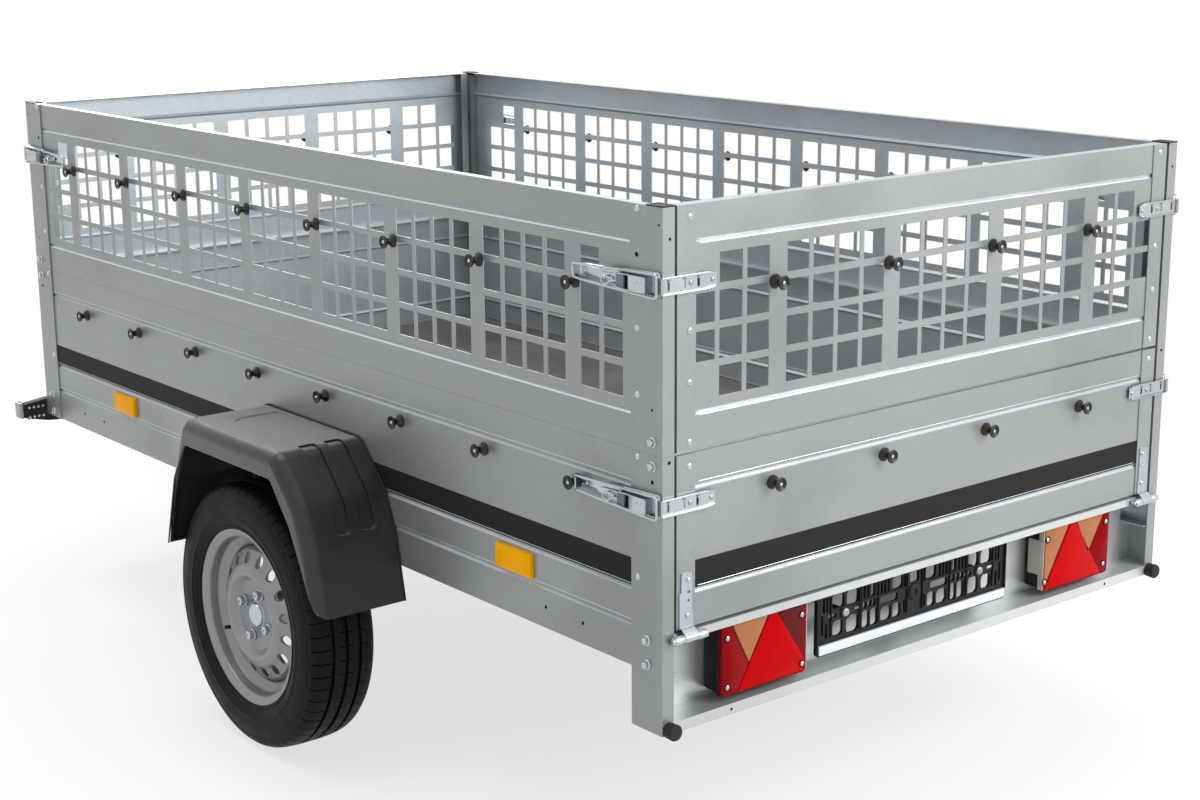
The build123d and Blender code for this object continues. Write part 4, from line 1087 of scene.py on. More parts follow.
class TRAILER_OT_lamps(bpy.types.Operator):
    """Model the rear lamps: housings, lenses with their triangles, windows and screws"""
    bl_idname = "trailer.lamps"
    bl_label = "Rear lamps"

    def execute(self, context):
        z0, z1 = span("lamp_lenses")[4:]
        sides = ((LAMP_FROM, LAMP_TO), (BODY_WIDTH - LAMP_TO, BODY_WIDTH - LAMP_FROM))
        bodies = [block(x0 + 4, x1 - 4, 20, 59.5, z0 + 4, z1 - 4, 6, 4) for x0, x1 in sides]
        seals = [block(x0 + 1.5, x1 - 1.5, 18, 22.5, z0 + 1.5, z1 - 1.5, 1.5)
                 for x0, x1 in sides]
        x = sides[1][0]
        for y in (30, 40, 50):
            bodies.append(block(x + 3, x + 6, y - 1, y + 1, z0 + 10, z1 - 60, 0.4, 1))
        finished(bodies, "Lamp_housings", "black", "lamp_bodies")
        finished(seals, "Lamp_seals", "rubber", slot="black_plastic")
        shells = [plate_y(rounded_rect(x0, x1, z0, z1, 8), 8.6, 18.4, 2.6, 4)
                  for x0, x1 in sides]
        finished(shells, "Lamp_lenses", "lens_dark", "lamp_lenses")
        self.fields(*sides[0], *sides[1], z0 + 4, z1 - 4)
        self.windows(sides[0][1], sides[1][0], z0, z1)
        self.screws()
        return {"FINISHED"}

    def facet(self, points, depth=1.1):
        """A field of the lens face, a little proud of it."""
        return plate_y(points, LAMP_FACE - depth, LAMP_FACE + 1.5, 0.5)

    def fields(self, left0, left1, right0, right1, foot, top):
        finished([
            self.facet([(left0 + 38, foot), (left1 - 3, foot), (left1 - 3, foot + 16),
                        (left0 + 122, top), (left0 + 116, top)]),
            self.facet([(right0 + 6, foot), (right1 - 24, foot), (right0 + 88, top),
                        (right0 + 82, top)]),
        ], "Lamp_triangles", "lens")
        finished([
            self.facet([(left0 + 3, foot + 2), (left0 + 3, top - 2), (left0 + 16, top),
                        (left0 + 62, foot + 42), (left0 + 36, foot)], 0.5),
            self.facet([(right1 - 21, foot), (right1 - 3, foot + 3), (right1 - 3, top - 2),
                        (right1 - 14, top), (right1 - 62, foot + 50),
                        (right1 - 44, foot + 20)], 0.5),
        ], "Lamp_tail_lenses", "lens_tail")
        finished([
            self.facet([(left0 + 21, top), (left0 + 63, foot + 48), (left0 + 111, top)]),
            self.facet([(right0 + 93, top), (right1 - 66, foot + 52), (right1 - 19, top)]),
            self.facet([(right0 + 3, top - 2), (right0 + 3, foot + 12), (right0 + 5, foot + 10),
                        (right0 + 76, top)]),
        ], "Lamp_signal_lenses", "lens_tan")
        finished([self.facet([(left0 + 127, top), (left1 - 26, foot + 34), (left1 - 4, top)],
                             0.8)], "Lamp_fog_lens", "lens_maroon")

    def windows(self, left, right, z0, z1):
        """Clear windows on the sides of the lamps that face the number plate."""
        finished([
            block(right - 2, right + 4, 11, 46, z0 + 34, z0 + 104, 2.5, 3),
            block(left - 3.4, left + 0.6, 8.8, 21, z0 + 4, z1 - 6, 1.2),
            block(right - 0.6, right + 3.4, 8.8, 21, z0 + 4, z1 - 6, 1.2),
        ], "Lamp_windows", "clear")

    def screws(self):
        finished([lathe([(7.2, 7.4), (6.2, 7.4, 0.3), (5.8, 6.6, 0.3), (5.8, 5.4, 0.2),
                         (7.2, 4.9)], (x, 0, z), "y", 20, 2, True) for x, z in LAMP_SCREWS],
                 "Lamp_screw_cups", "lens_dark")
        finished([lathe([(8, AXIS), (8, 4.6), (6.4, 4.4), (5.3, 3.0), (5.0, 1.4), (5.6, 1.2),
                         (5.6, AXIS)], (x, 0, z), "y", 16) for x, z in LAMP_SCREWS],
                 "Lamp_screws", "bright")


# ---------------------------------------------------------------- number plate holder

HOLDER_CUTS = (     # from the middle, up, width, height
    (196, 92, 26, 28), (160, 92, 26, 28), (210, 68, 18, 7), (146, 68, 18, 7),
    (197, 43, 22, 26), (160, 43, 27, 30), (232, 92, 5, 26), (224, 92, 4, 26),
    (236, 55, 5, 34), (226, 43, 5, 26), (130, 95, 5, 22), (121, 95, 5, 22),
    (108, 95, 9, 22), (129, 70, 8, 12), (117, 70, 8, 12), (105, 70, 7, 12),
    (126, 43, 16, 30), (105, 43, 16, 30), (86, 95, 5, 24), (77, 95, 5, 24),
    (68, 95, 5, 24), (44, 95, 24, 24), (66, 68, 40, 14), (74, 42, 24, 26),
    (46, 42, 18, 26), (26, 95, 5, 24), (27, 44, 6, 22),
)
HOLDER_OPEN = (1.16, 1.1)   # how much wider and higher the cuts are made
HOLDER_BARS = (     # from the middle, foot, top, width
    (143, 30, 104, 2), (215, 30, 104, 2), (95, 30, 104, 1.6), (139.5, 26, 108, 1.6),
    (20, 30, 104, 1.6),
)
HOLDER_BOLT = (178, 68)     # from the middle, up


class TRAILER_OT_plate_holder(bpy.types.Operator):
    """Model the number plate holder as an open lattice with a blank strip"""
    bl_idname = "trailer.plate_holder"
    bl_label = "Plate holder"

    def execute(self, context):
        x0, x1, _, _, z0, z1 = span("plate_holder")
        middle = (x0 + x1) / 2
        bolts = [(middle + side * HOLDER_BOLT[0], 0, z0 + HOLDER_BOLT[1]) for side in (-1, 1)]
        parts = [self.panel(x0, x1, z0, z1), self.rim(x0, x1, z0, z1)]
        for side, bolt in zip((-1, 1), bolts):
            for u, low, high, wide in HOLDER_BARS:
                x = middle + side * u
                parts.append(block(x - wide / 2, x + wide / 2, 9, 13, z0 + low, z0 + high,
                                   0.4, 1))
            near, far = sorted((middle + side * 22, middle + side * 218))
            parts.append(block(near, far, 9.4, 13, z0 + 79, z0 + 81, 0.4, 1))
            parts.append(lathe([(9.6, 9.2), (9.6, 12.8, 0.6), (13, 13.4), (13, 8.6)], bolt, "y",
                               28, 2, True))
        parts.append(lathe([(9.0, 5), (8.4, 10.5, 2), (9.4, 15.5, 2), (14, 16.5), (14, AXIS),
                            (10.4, AXIS), (9.8, 3.2)], (middle, 0, z0 + 66), "y", 32, 3))
        finished(parts, "Plate_holder", "black", "plate_holder")
        strip = plate_y(rounded_rect(x0 + 5, x1 - 3, z0 + 2.6, z0 + 19.4, 1.5, 3), 7, 12, 0.7)
        finished([strip], "Plate_strip", "white")
        finished([lathe([(14, AXIS), (14, 8.2), (10.2, 8.2, 1.2), (8.2, 6.6, 2), (7.4, 3, 2),
                         (7.3, AXIS)], bolt, "y", 24, 3) for bolt in bolts],
                 "Plate_bolts", "dull")
        finished([rod_y(x, z, 6.5, 17.5, 59.5) for x, _, z in bolts], "Plate_holder_posts",
                 "black")
        return {"FINISHED"}

    def panel(self, x0, x1, z0, z1):
        """The lattice: a plate with its openings cut out."""
        middle = (x0 + x1) / 2
        panel = plate_y(rounded_rect(x0 + 1, x1 - 1, z0 + 1, z1 - 1, 5), 12, 18, 0.8)
        outlines = []
        for u, v, width, height in HOLDER_CUTS:
            wide, tall = width * HOLDER_OPEN[0] / 2, height * HOLDER_OPEN[1] / 2
            for x in (middle - u, middle + u):
                outlines.append((x - wide, x + wide, z0 + v - tall, z0 + v + tall,
                                 min(wide, tall) * 0.6))
        outlines.append((middle - 12, middle + 12, z0 + 84, z0 + 106, 4))
        cutters = [plate_y(rounded_rect(*outline, 3), 8, 24) for outline in outlines]
        return cut(panel, joined(cutters, "Holder_cuts"))

    def rim(self, x0, x1, z0, z1):
        wide = 3.2
        outer = plate_y(rounded_rect(x0, x1, z0, z1, 6), 8, 16)
        inner = rounded_rect(x0 + wide, x1 - wide, z0 + wide, z1 - wide, 4)
        return bevelled(cut(outer, plate_y(inner, 6, 18)), 0.8)


# ---------------------------------------------------------------- latches and keepers

LATCH_Z = (392.0, 752.0)


class TRAILER_OT_latches(bpy.types.Operator):
    """Model the over-centre latches: base, wire loops, lever and spring hook"""
    bl_idname = "trailer.latches"
    bl_label = "Latches"

    def execute(self, context):
        z = LATCH_Z[0]
        up = Matrix.Translation((0, 0, (LATCH_Z[1] - z) / 1000))
        blocks = [block(-16.6, -6.0, 76, 95, z - 12.5, z + 12.5, 1.2)]
        loops = [self.loop(2.6, 212, z, 19.2, 12.0, -10.6, 2.6),
                 self.loop(3.2, 92, z + 1, 19.2, 15.6, -4.0, 2.2)]
        for kind, parts, finish in (
            ("levers", self.lever(z), "bright"), ("blocks", blocks, "steel_dark"),
            ("loops", loops, "bright"),
        ):
            lower = joined(parts, "Latch_part")
            upper = again(lower, up)
            front = both([again(upper, TO_FRONT)])
            for end, pieces in (("rear", both([lower, upper])), ("front", front)):
                nodes = [end + "_latches"] if kind == "levers" else []
                finished(pieces, "Latch_" + kind + "_" + end, finish, *nodes)
        return {"FINISHED"}

    def loop(self, y0, y1, z, wide, narrow, x, radius):
        """A closed wire loop, wide at the corner of the post and narrow at its far end."""
        path = ring([(y0, z), (y0, z - wide, 6), (y1, z - narrow, 5), (y1, z + narrow, 5),
                     (y0, z + wide, 6)], 5)
        return wire([(x, y, v) for y, v in path], radius, True)

    def lever(self, z):
        """The base plate, the lever with its pin, and the spring hook."""
        parts = [plate_x([(4, z - 17), (118, z - 13), (150, z - 8), (204, z - 7), (204, z + 8),
                          (150, z + 9), (118, z + 16), (4, z + 20)], -2.0, -0.2, 0.5)]
        edge = [(22, 13), (74, 13), (98, 11)]
        for sign in (-1, 1):
            outline = [(y, z + sign * v) for y, v in edge]
            outline += [(y, z + sign * (v - 1.6)) for y, v in edge[::-1]]
            parts.append(plate_x(outline, -19, -2, 0.3, 1))
        parts.append(block(-18.2, -2, 22.4, 24.0, z - 12.6, z + 12.6, 0.3, 1))
        curve = arcs([(-17.0, 22), (-18.6, 30, 5), (-18.6, 52, 12), (-15.4, 66, 6), (-12, 72)],
                     4)
        back = [(x + 1.6, y + 0.2) for x, y in curve]
        parts.append(plate_z(curve + back[::-1], z - 12, z + 12, 0.3, 1))
        parts.append(plate_x([(98, z - 6), (150, z - 5), (156, z - 2.5), (156, z + 2.5),
                              (150, z + 5), (98, z + 8)], -7.0, -5.4, 0.3, 1))
        turns = [2 * pi * k / 18 for k in range(18)]
        parts.append(wire([(-12.5, 126 + 9.5 * cos(t), z - 5 + 6.5 * sin(t)) for t in turns],
                          1.9, True))
        parts.append(wire([(-12.5, 117, z - 5), (-11.5, 108, z - 4), (-9.5, 97, z - 2)], 1.9))
        parts.append(wire([(-14, 88, z - 14), (-14, 88, z + 14)], 2.4))
        for y, v, x in ((190, 1, -2.0), (148, 1, -2.0), (34, 4, -18.8), (44, 4, -18.8)):
            parts.append(lathe([(x, AXIS), (x, 3.0), (x - 1.2, 2.6, 0.6), (x - 1.7, AXIS)],
                               (0, y, z + v), "x", 14, 2))
        return parts


class TRAILER_OT_keepers(bpy.types.Operator):
    """Model the slotted keepers that the latches hold, and their rivets"""
    bl_idname = "trailer.keepers"
    bl_label = "Keepers"

    def execute(self, context):
        for body, source, z in (
            ("tailgate", "tailgate_keepers", LATCH_Z[0]),
            ("rear_mesh", "mesh_gate_keepers", LATCH_Z[1]),
            ("front_mesh", "front_mesh_keepers", LATCH_Z[1]),
        ):
            rivets = [rivet((x, 0, z), "y", -2.0, (0, 4.6), (2.0, 4.2, 1.2), (3.2, 1.8, 0.4),
                            (2.6, 1.5)) for x in (56.5, 103)]
            for kind, parts, finish, nodes in (
                ("Keepers_", self.keeper(z), "bright", [source]),
                ("Keeper_rivets_", rivets, "dull", []),
            ):
                piece = joined(parts, "Keeper_part")
                if body == "front_mesh":
                    placed(piece, TO_FRONT)
                finished(both([piece]), kind + body, finish, *nodes, body=body)
        return {"FINISHED"}

    def keeper(self, z):
        """A plate with slots, its two lips, its rolled end and the edges of its slots."""
        wide, tip = 14.4, 11.0
        plate = plate_y(ring([(-6, z), (-6, z - wide, 1), (90, z - wide, 30), (111, z - tip, 4),
                              (111, z + tip, 4), (90, z + wide, 30), (-6, z + wide, 1)], 4),
                        -2.8, -1.0)
        slots = (10, 43.5, 73)
        cutters = [plate_y(rounded_rect(x - 2.6, x + 2.6, z - 8, z + 7, 2.4, 3), -6, 3)
                   for x in slots]
        parts = [bevelled(cut(plate, joined(cutters, "Keeper_slots")), 0.35, 1)]
        for sign in (-1, 1):
            lip = arcs([(-6, z + sign * wide), (88, z + sign * wide, 40),
                        (109, z + sign * 11.2)], 5)
            outline = [(x, -7.2, v) for x, v in lip] + [(x, -2.0, v) for x, v in lip[::-1]]
            parts.append(sheet(outline, 1.8, (0, 0, -sign), 0.5))
        parts.append(wire([(-5.6, -5.6, z - 13), (-5.6, -5.6, z + 13)], 2.2, steps=3))
        parts += [wire([(x, -3.4, z + 6.4), (x, -4.4, z + 9.4)], 2.2) for x in slots]
        parts.append(block(35, 67, -1.1, 1.0, z - 10, z + 10, 0.5, 1))
        return parts


# ---------------------------------------------------------------- hinges

class TRAILER_OT_hinges(bpy.types.Operator):
    """Model the tailgate's hinges: straps, rolled knuckles, pins and rivets"""
    bl_idname = "trailer.hinges"
    bl_label = "Hinges"

    def execute(self, context):
        low_x, _, _, _, _, high_z = span("hinge_leaves")
        x, foot = low_x + 14, high_z - 96
        pin_z = foot - 12.5
        fold = arcs([(1.0, foot + 3), (-1.4, foot + 4, 1.5), (-6, foot + 2, 4),
                     (-17.4, pin_z + 4, 3), (-18.0, pin_z)], 3)
        under = [(y + 1.5, z - 1.4) for y, z in fold]
        leaf = [self.strap(x, foot), plate_x(fold + under[::-1], x - 14, x + 14, 0.3, 1),
                self.knuckle(x - 14, x + 14, pin_z)]
        for place in ((x + 4, 0, foot + 83), (x + 2, 0, foot + 22)):
            leaf.append(rivet(place, "y", -1.2, (0, 5.0), (2.2, 4.6, 1.2), (3.2, 2.2, 0.4),
                              (2.7, 1.9)))
        finished(both(leaf), "Hinge_leaves", "bright", "hinge_leaves", body="tailgate")
        ends = ((x - 35, x - 14.4), (x + 14.4, x + 35))
        seat = [self.knuckle(a, b, pin_z) for a, b in ends]
        seat += [block(a + 0.5, b - 0.5, -9, 0, pin_z - 8, pin_z - 5.6, 0.6) for a, b in ends]
        seat.append(lathe([(x - 38.5, AXIS), (x - 38.5, 5.6, 1.6), (x - 35.2, 6.2, 0.4),
                           (x - 35.2, 4.0), (x + 35.2, 4.0), (x + 35.2, 5.2, 0.4),
                           (x + 37.5, 4.6, 1.4), (x + 37.5, AXIS)], (0, -10, pin_z), "x", 20,
                          3))
        finished(both(seat), "Hinge_seats", "bright", "hinge_seats")
        return {"FINISHED"}

    def strap(self, x, foot):
        """The flat strap on the tailgate, with its slot and its hole."""
        strap = plate_y(ring([(x, foot), (x - 15, foot, 1), (x - 15, foot + 62, 2),
                              (x - 11, foot + 64, 2), (x - 11, foot + 96, 5),
                              (x + 12, foot + 96, 5), (x + 12, foot + 30, 2),
                              (x + 14, foot + 26, 2), (x + 14, foot, 1)], 3), -1.4, 1.0)
        slot = plate_y(rounded_rect(x, x + 8, foot + 60, foot + 65, 2.4, 3), -6, 4)
        hole = rod_y(x + 4, foot + 48, 2.4, -6, 4)
        return bevelled(cut(strap, joined([slot, hole], "Strap_cuts")), 0.4, 1)

    def knuckle(self, x0, x1, z):
        return lathe([(x0, 4.2), (x0, 8.0, 0.9), (x1, 8.0, 0.9), (x1, 4.2)], (0, -10, z), "x",
                     28, 2, True)


# ---------------------------------------------------------------- buffers, caps, lights

class TRAILER_OT_trim(bpy.types.Operator):
    """Model the rubber buffers, post caps, side reflectors and front markers"""
    bl_idname = "trailer.trim"
    bl_label = "Buffers, caps, reflectors and markers"

    def execute(self, context):
        buffer = lathe([(0, AXIS), (0, 13.4, 1.0), (-17.5, 14.2, 1.6), (-20.2, 12.6, 1.2),
                        (-20.2, AXIS)], (13.6, 0, 9.5), "y", 40, 4)
        finished(both([buffer]), "Buffers", "rubber", "gate_buffers")
        self.caps()
        self.reflectors()
        self.markers()
        return {"FINISHED"}

    def caps(self):
        top = span("post_caps")[5]
        cap = block(-1.2, 27.4, -1.2, 40.2, top - 2.4, top, 1.0, 3)
        face = max(cap.data.polygons, key=lambda p: p.center.z + p.area * 100).index
        pick(cap, "polygons", lambda p: p.index == face)
        bpy.ops.mesh.inset(thickness=0.004, depth=0)
        bpy.ops.mesh.inset(thickness=0.001, depth=-0.0008)
        done()
        neck = block(1, 25, 1, 37, top - 9, top - 2, 1.0)
        pieces = both([joined([cap, neck], "Caps")], TO_FRONT)
        finished(both(pieces), "Post_caps", "black", "post_caps")

    def reflectors(self):
        lenses, seats = [], []
        z = 206.5
        for y in (400, 1910):
            seats.append(block(-0.8, 3.4, y - 52, y + 52, z - 22.5, z + 22.5, 0.7))
            lenses.append(plate_x(rounded_rect(y - 51, y + 51, z - 21.5, z + 21.5, 3, 3), -4.8,
                                  0, 1.4, 3))
            for v in (z - 9.5, z - 3.2, z + 3.2, z + 9.5):
                lenses.append(block(-5.2, -4.4, y - 44, y + 44, v - 2, v + 2, 0.35))
            for end in (y - 46, y + 46):
                lenses.append(block(-5.4, -4.4, end - 1.5, end + 1.5, z - 18, z + 18, 0.4))
        finished(both(lenses), "Side_reflectors", "amber", "side_reflectors")
        finished(both(seats), "Reflector_seats", "amber")

    def markers(self):
        y0, y1 = BODY_LENGTH, BODY_LENGTH + 25
        arm = plate_y(ring([(0, 84), (-58, 98, 10), (-63, 100, 4), (-63, 131, 4),
                            (-58, 133, 10), (0, 140, 20), (46, 142, 3), (46, 80, 3)], 3),
                      y0, y1, 1.6, 3)
        ribs = [block(x - 1.2, x + 1.2, y0 - 1.2, y0 + 1, 92, 130, 0.5, 1)
                for x in (-50, -40, -30, -20)]
        finished(both([arm, *ribs]), "Marker_arms", "rubber", "marker_arms")
        screws = [rod_y(x, z, 3.4, y0 - 2.4, y0 + 2) for x in (-48, -36, -24, -12)
                  for z in (100, 124)]
        finished(both(screws), "Marker_screws", "bright")
        lens = block(-73, -62.6, y0 - 1, y1 + 3, 99, 137, 3, 4)
        seat = block(-65, -62.4, y0 - 0.6, y1 + 2.4, 98, 138, 1)
        finished(both([lens]), "Marker_lenses", "clear", "marker_lenses")
        finished(both([seat]), "Marker_seats", "rubber")


# ---------------------------------------------------------------- rivets, bolts and holes

SIDE_HOLES = (      # forward, up, radius
    (62.5, 795, 4.0), (25, 430, 3.6), (9, 847, 2.2), (25.5, 549, 2.4), (314, 140.5, 3.4),
    (210.6, 139.7, 3.4),
)
REAR_HOLES = (      # across, up, radius
    (15, 825, 2.6), (14, 465, 3.2), (1305, 829, 2.6), (1304, 465, 3.2), (154, 9.4, 2.8),
    (BODY_WIDTH - 154, 9.4, 2.8),
)


class TRAILER_OT_fastenings(bpy.types.Operator):
    """Model the rivets, bolts and punched holes of the posts and gates"""
    bl_idname = "trailer.fastenings"
    bl_label = "Rivets, bolts and holes"

    def execute(self, context):
        sides = [self.rivet((0, 62, z), "x", 0.2) for z in (867.6, 677, 568, 465, 262)]
        gate, gate_right = self.rear(58, 451.5), self.rear(BODY_WIDTH - 51, 453.5, 241, 224.5)
        mesh = self.rear(58, 491.5, 856, 674, 590)
        mesh_right = self.rear(BODY_WIDTH - 51, 860, 678, 592, 493)
        front = both([again(piece, TO_FRONT) for piece in mesh])
        bolts = [self.hex_bolt(*place) for place in ((25, 496), (25, 456), (39, 158), (39, 116))]
        finished(both(both(sides, TO_FRONT)), "Rivets_body", "bright")
        finished(both(both(bolts, TO_FRONT)), "Bolts_body", "bright")
        finished(gate + gate_right, "Rivets_tailgate", "bright", body="tailgate")
        finished(mesh + mesh_right, "Rivets_rear_mesh", "bright", body="rear_mesh")
        finished(front, "Rivets_front_mesh", "bright", body="front_mesh")
        plugs = [self.plug((0 if y < 80 else GROOVE, y, z), "x", r) for y, z, r in SIDE_HOLES]
        plugs = both(both(plugs, TO_FRONT))
        plugs += [self.plug((x, 0, z), "y", r) for x, z, r in REAR_HOLES]
        finished(plugs, "Punched_holes", "hole")
        return {"FINISHED"}

    def rivet(self, at, axis, base):
        r = sizes_of().rivet * 1000
        return rivet(at, axis, base, (0, r, 0.2), (1.6, r * 0.86, 1.2), (2.6, r * 0.42, 0.3),
                     (2.0, r * 0.34))

    def rear(self, x, *heights):
        return [self.rivet((x, 0, z), "y", 1.2) for z in heights]

    def hex_bolt(self, y, z):
        """Hexagon bolt with a pressed washer flange, on the side."""
        flange = lathe([(0.2, AXIS), (0.2, 9.6, 0.2), (-1.2, 9.4, 0.4), (-2.4, 7.6, 0.6),
                        (-2.4, AXIS)], (0, y, z), "x", 24, 2)
        return joined([flange, hexagon((-4.6, y, z), 7.1, 5.2, 0.8)], "Bolt")

    def plug(self, at, axis, radius):
        """A dark punched hole, as a shallow plug that lies just proud of the sheet."""
        return lathe([(0.3, AXIS), (0.3, radius), (-0.12, radius), (-0.12, AXIS)], at, axis, 18)


# ---------------------------------------------------------------- creases of the sheets

class TRAILER_OT_creases(bpy.types.Operator):
    """Model thin strips on the lower slopes of the pressed grooves and on the turned top edges,
    in a pale zinc that paints their highlight
    """
    bl_idname = "trailer.creases"
    bl_label = "Creases"

    def execute(self, context):
        deck = span("floor_deck")[5]
        low = [deck + height for height in (2.5, 65.0, 242.0)]
        high = [POST_TOP + height for height in (62.0, 341.0)]
        side = [plate_y(self.section(z), 66, 2286) for z in low + high]
        gate, mesh = [[plate_x(self.section(z), 80, BODY_WIDTH - 80) for z in heights]
                      for heights in (low[1:], high)]
        front = [again(piece, TO_FRONT) for piece in mesh]
        # The strips carry the grooves' painted highlight.
        finished(both(side), "Creases_side", "crease")
        finished(gate, "Creases_tailgate", "crease", body="tailgate")
        finished(mesh, "Creases_rear_mesh", "crease", body="rear_mesh")
        finished(front, "Creases_front_mesh", "crease", body="front_mesh")
        return {"FINISHED"}

    def section(self, z):
        """Depth and height of a thin strip that lies on a groove's lower slope."""
        return [(GROOVE + depth, z + rise) for depth, rise in (
            (0.2, -4.6), (-0.3, -4.2), (-0.1, -3.7), (2.7, -1.0), (3.3, -0.6), (3.8, -1.0),
            (1.0, -4.2))]


# ---------------------------------------------------------------- coupling and jockey wheel

def middle_of(name):
    """The middle of a node's box in millimetres."""
    x0, x1, y0, y1, z0, z1 = span(name)
    return (x0 + x1) / 2, (y0 + y1) / 2, (z0 + z1) / 2


def coupling_bolt(x, y, z, side):
    """A hexagon head with its washer, facing the side."""
    head = hexagon((x + side * 3.9, y, z), 10.5, 7.5, 1.0)
    washer = lathe([(0, 7), (0, 12.6), (side * 1.8, 12.2), (side * 1.8, 7)], (x, y, z), "x",
                   24, closed=True)
    return joined([head, washer], "Coupling_bolt")


class TRAILER_OT_nose(bpy.types.Operator):
    """Model the coupling, its handle and the jockey wheel with its clamp, crank and fork"""
    bl_idname = "trailer.nose"
    bl_label = "Coupling and jockey wheel"

    def execute(self, context):
        self.coupling()
        self.handle()
        self.clamp()
        self.crank()
        self.fork()
        self.wheel()
        return {"FINISHED"}

    def coupling(self):
        x0, x1, y0, y1, z0, z1 = span("coupling")
        x, _, z = middle_of("coupling")
        parts = [block(x0, x1, y0, y0 + 108, low, low + 4, 1) for low in (z0, z1 - 4)]
        parts += [block(low, low + 4, y0, y0 + 108, z0 + 1, z1 - 1, 1) for low in (x0, x1 - 4)]
        parts.append(block(x0 + 2, x1 - 2, y0 + 102, y0 + 107, z0 + 2, z1 - 2, 1))
        ball = y1 - 34
        parts.append(plate_z(ring([(x - 33, y0 + 92), (x + 33, y0 + 92, 6), (x + 31, ball, 10),
                                   (x, ball), (x - 31, ball, 10)], 4), z - 20, z + 21, 6, 4))
        parts.append(lathe([(-29.6, 25.6), (-29.6, 33, 1.5), (6, 33.6, 10), (13.6, 22, 8),
                            (13.6, AXIS), (10, AXIS), (8.6, 10, 6), (0, 22, 8),
                            (-14, 25.6, 6)], (x, ball, z), "z", 48, 4, True))
        finished(parts, "Coupling_head", "bright", "coupling")
        finished([coupling_bolt(x + side * 38.4, y0 + dy, z, side) for dy in (26, 64)
                  for side in (-1, 1)], "Coupling_bolts", "bright")

    def handle(self):
        x0, x1, y0, y1, z0, z1 = span("coupling_handle")
        parts = [plate_x(ring([(y1, z0), (y1, z0 + 12, 6), (y1 - 68, z0 + 44, 30),
                               (y0 + 6, z1 - 1, 5), (y0 + 1, z1 - 11, 5),
                               (y1 - 78, z0 + 28, 24), (y1 - 58, z0, 6)], 5),
                         x0 + 0.5, x1 - 0.5, 5.5, 4)]
        for k in range(6):
            ahead = 24 + k * 9
            y, z = y0 + ahead, z1 - 4.0 - ahead * 0.235
            parts.append(block(x0 + 5, x1 - 5, y - 1.4, y + 1.4, z, z + 3.4, 0.9))
        finished(parts, "Coupling_handle", "paint", "coupling_handle")

    def clamp(self):
        x0, _, _, _, z0, z1 = span("jockey_clamp")
        x, y, _ = middle_of("jockey_tube")
        z = (z0 + z1) / 2
        bore = 24.2
        collar = lathe([(z0, bore), (z0, 33, 2.5), (z1, 33, 2.5), (z1, bore)], (x, y, 0), "z",
                       48, 3, True)
        arm = block(x0, x - 22, y - 26, y + 26, z0, z1, 2.0, 3)
        cut(arm, lathe([(z0 - 1, AXIS), (z0 - 1, bore), (z1 + 1, bore), (z1 + 1, AXIS)],
                       (x, y, 0), "z", 48))
        parts = [collar, arm, block(x0, x0 + 5, y - 44, y + 44, z0 + 3, z1 - 3, 2.0, 3)]
        parts += [coupling_bolt(x0 + 5, y + dy, z, 1) for dy in (-36, 36)]
        parts.append(wire([(x + 8, y + 32, z), (x + 8, y + 47, z)], 5.5, steps=4))
        parts.append(wire([(x - 12, y + 45, z + 6), (x + 36, y + 45, z - 18)], 4.2, steps=4))
        finished(parts, "Jockey_clamp", "bright", "jockey_clamp")

    def crank(self):
        x, _, _ = middle_of("jockey_crank")
        _, _, _, y1, z0, _ = span("jockey_crank")
        y = y1 - 10
        shaft = lathe([(z0, AXIS), (z0, 12, 1), (z0 + 6, 12, 2), (z0 + 8, 7, 1),
                       (z0 + 29, 7, 1), (z0 + 29, AXIS)], (x, y, 0), "z", 24, 2)
        arm = plate_z(ring([(x, y + 9), (x - 9, y + 9, 8), (x - 7, y - 117, 6),
                            (x + 7, y - 117, 6), (x + 9, y + 9, 8)], 5), z0 + 22, z0 + 28, 1.2)
        finished([shaft, arm], "Jockey_crank", "bright", "jockey_crank", slot="handle_paint")
        grip = lathe([(z0 + 28, AXIS), (z0 + 28, 8.5, 2), (z0 + 34, 9.8, 6),
                      (z0 + 58, 9.0, 20), (z0 + 82, 9.8, 6), (z0 + 87.5, 7, 4),
                      (z0 + 87.5, AXIS)], (x, y - 110, 0), "z", 24, 4)
        finished([grip], "Jockey_grip", "paint")

    def fork(self):
        x0, x1, y0, y1, _, z1 = span("jockey_fork")
        x = (x0 + x1) / 2
        _, y, z = middle_of("jockey_wheel")
        half = (x1 - x0) / 2 - 4
        parts = [block(x - half, x + half, y0, y1, z1 - 5, z1, 1.2)]
        cheek = ring([(y0 + 2, z1 - 1), (y0 + 2, z1 - 16, 10), (y - 16, z - 14, 12),
                      (y + 16, z - 14, 12), (y1 - 2, z1 - 16, 10), (y1 - 2, z1 - 1, 2)], 5)
        for side, low in ((-1, x - half), (1, x + half - 4)):
            parts.append(plate_x(cheek, low, low + 4, 1.0))
            parts.append(lathe([(0, AXIS), (0, 10, 0.4), (side * 3.8, 9.2, 1),
                                (side * 3.8, AXIS)], (x + side * half, y, z), "x", 24, 2))
        parts.append(lathe([(-half, AXIS), (-half, 7.9), (half, 7.9), (half, AXIS)], (x, y, z),
                           "x", 24))
        finished(parts, "Jockey_fork", "bright", "jockey_fork", body="jockey_fork")

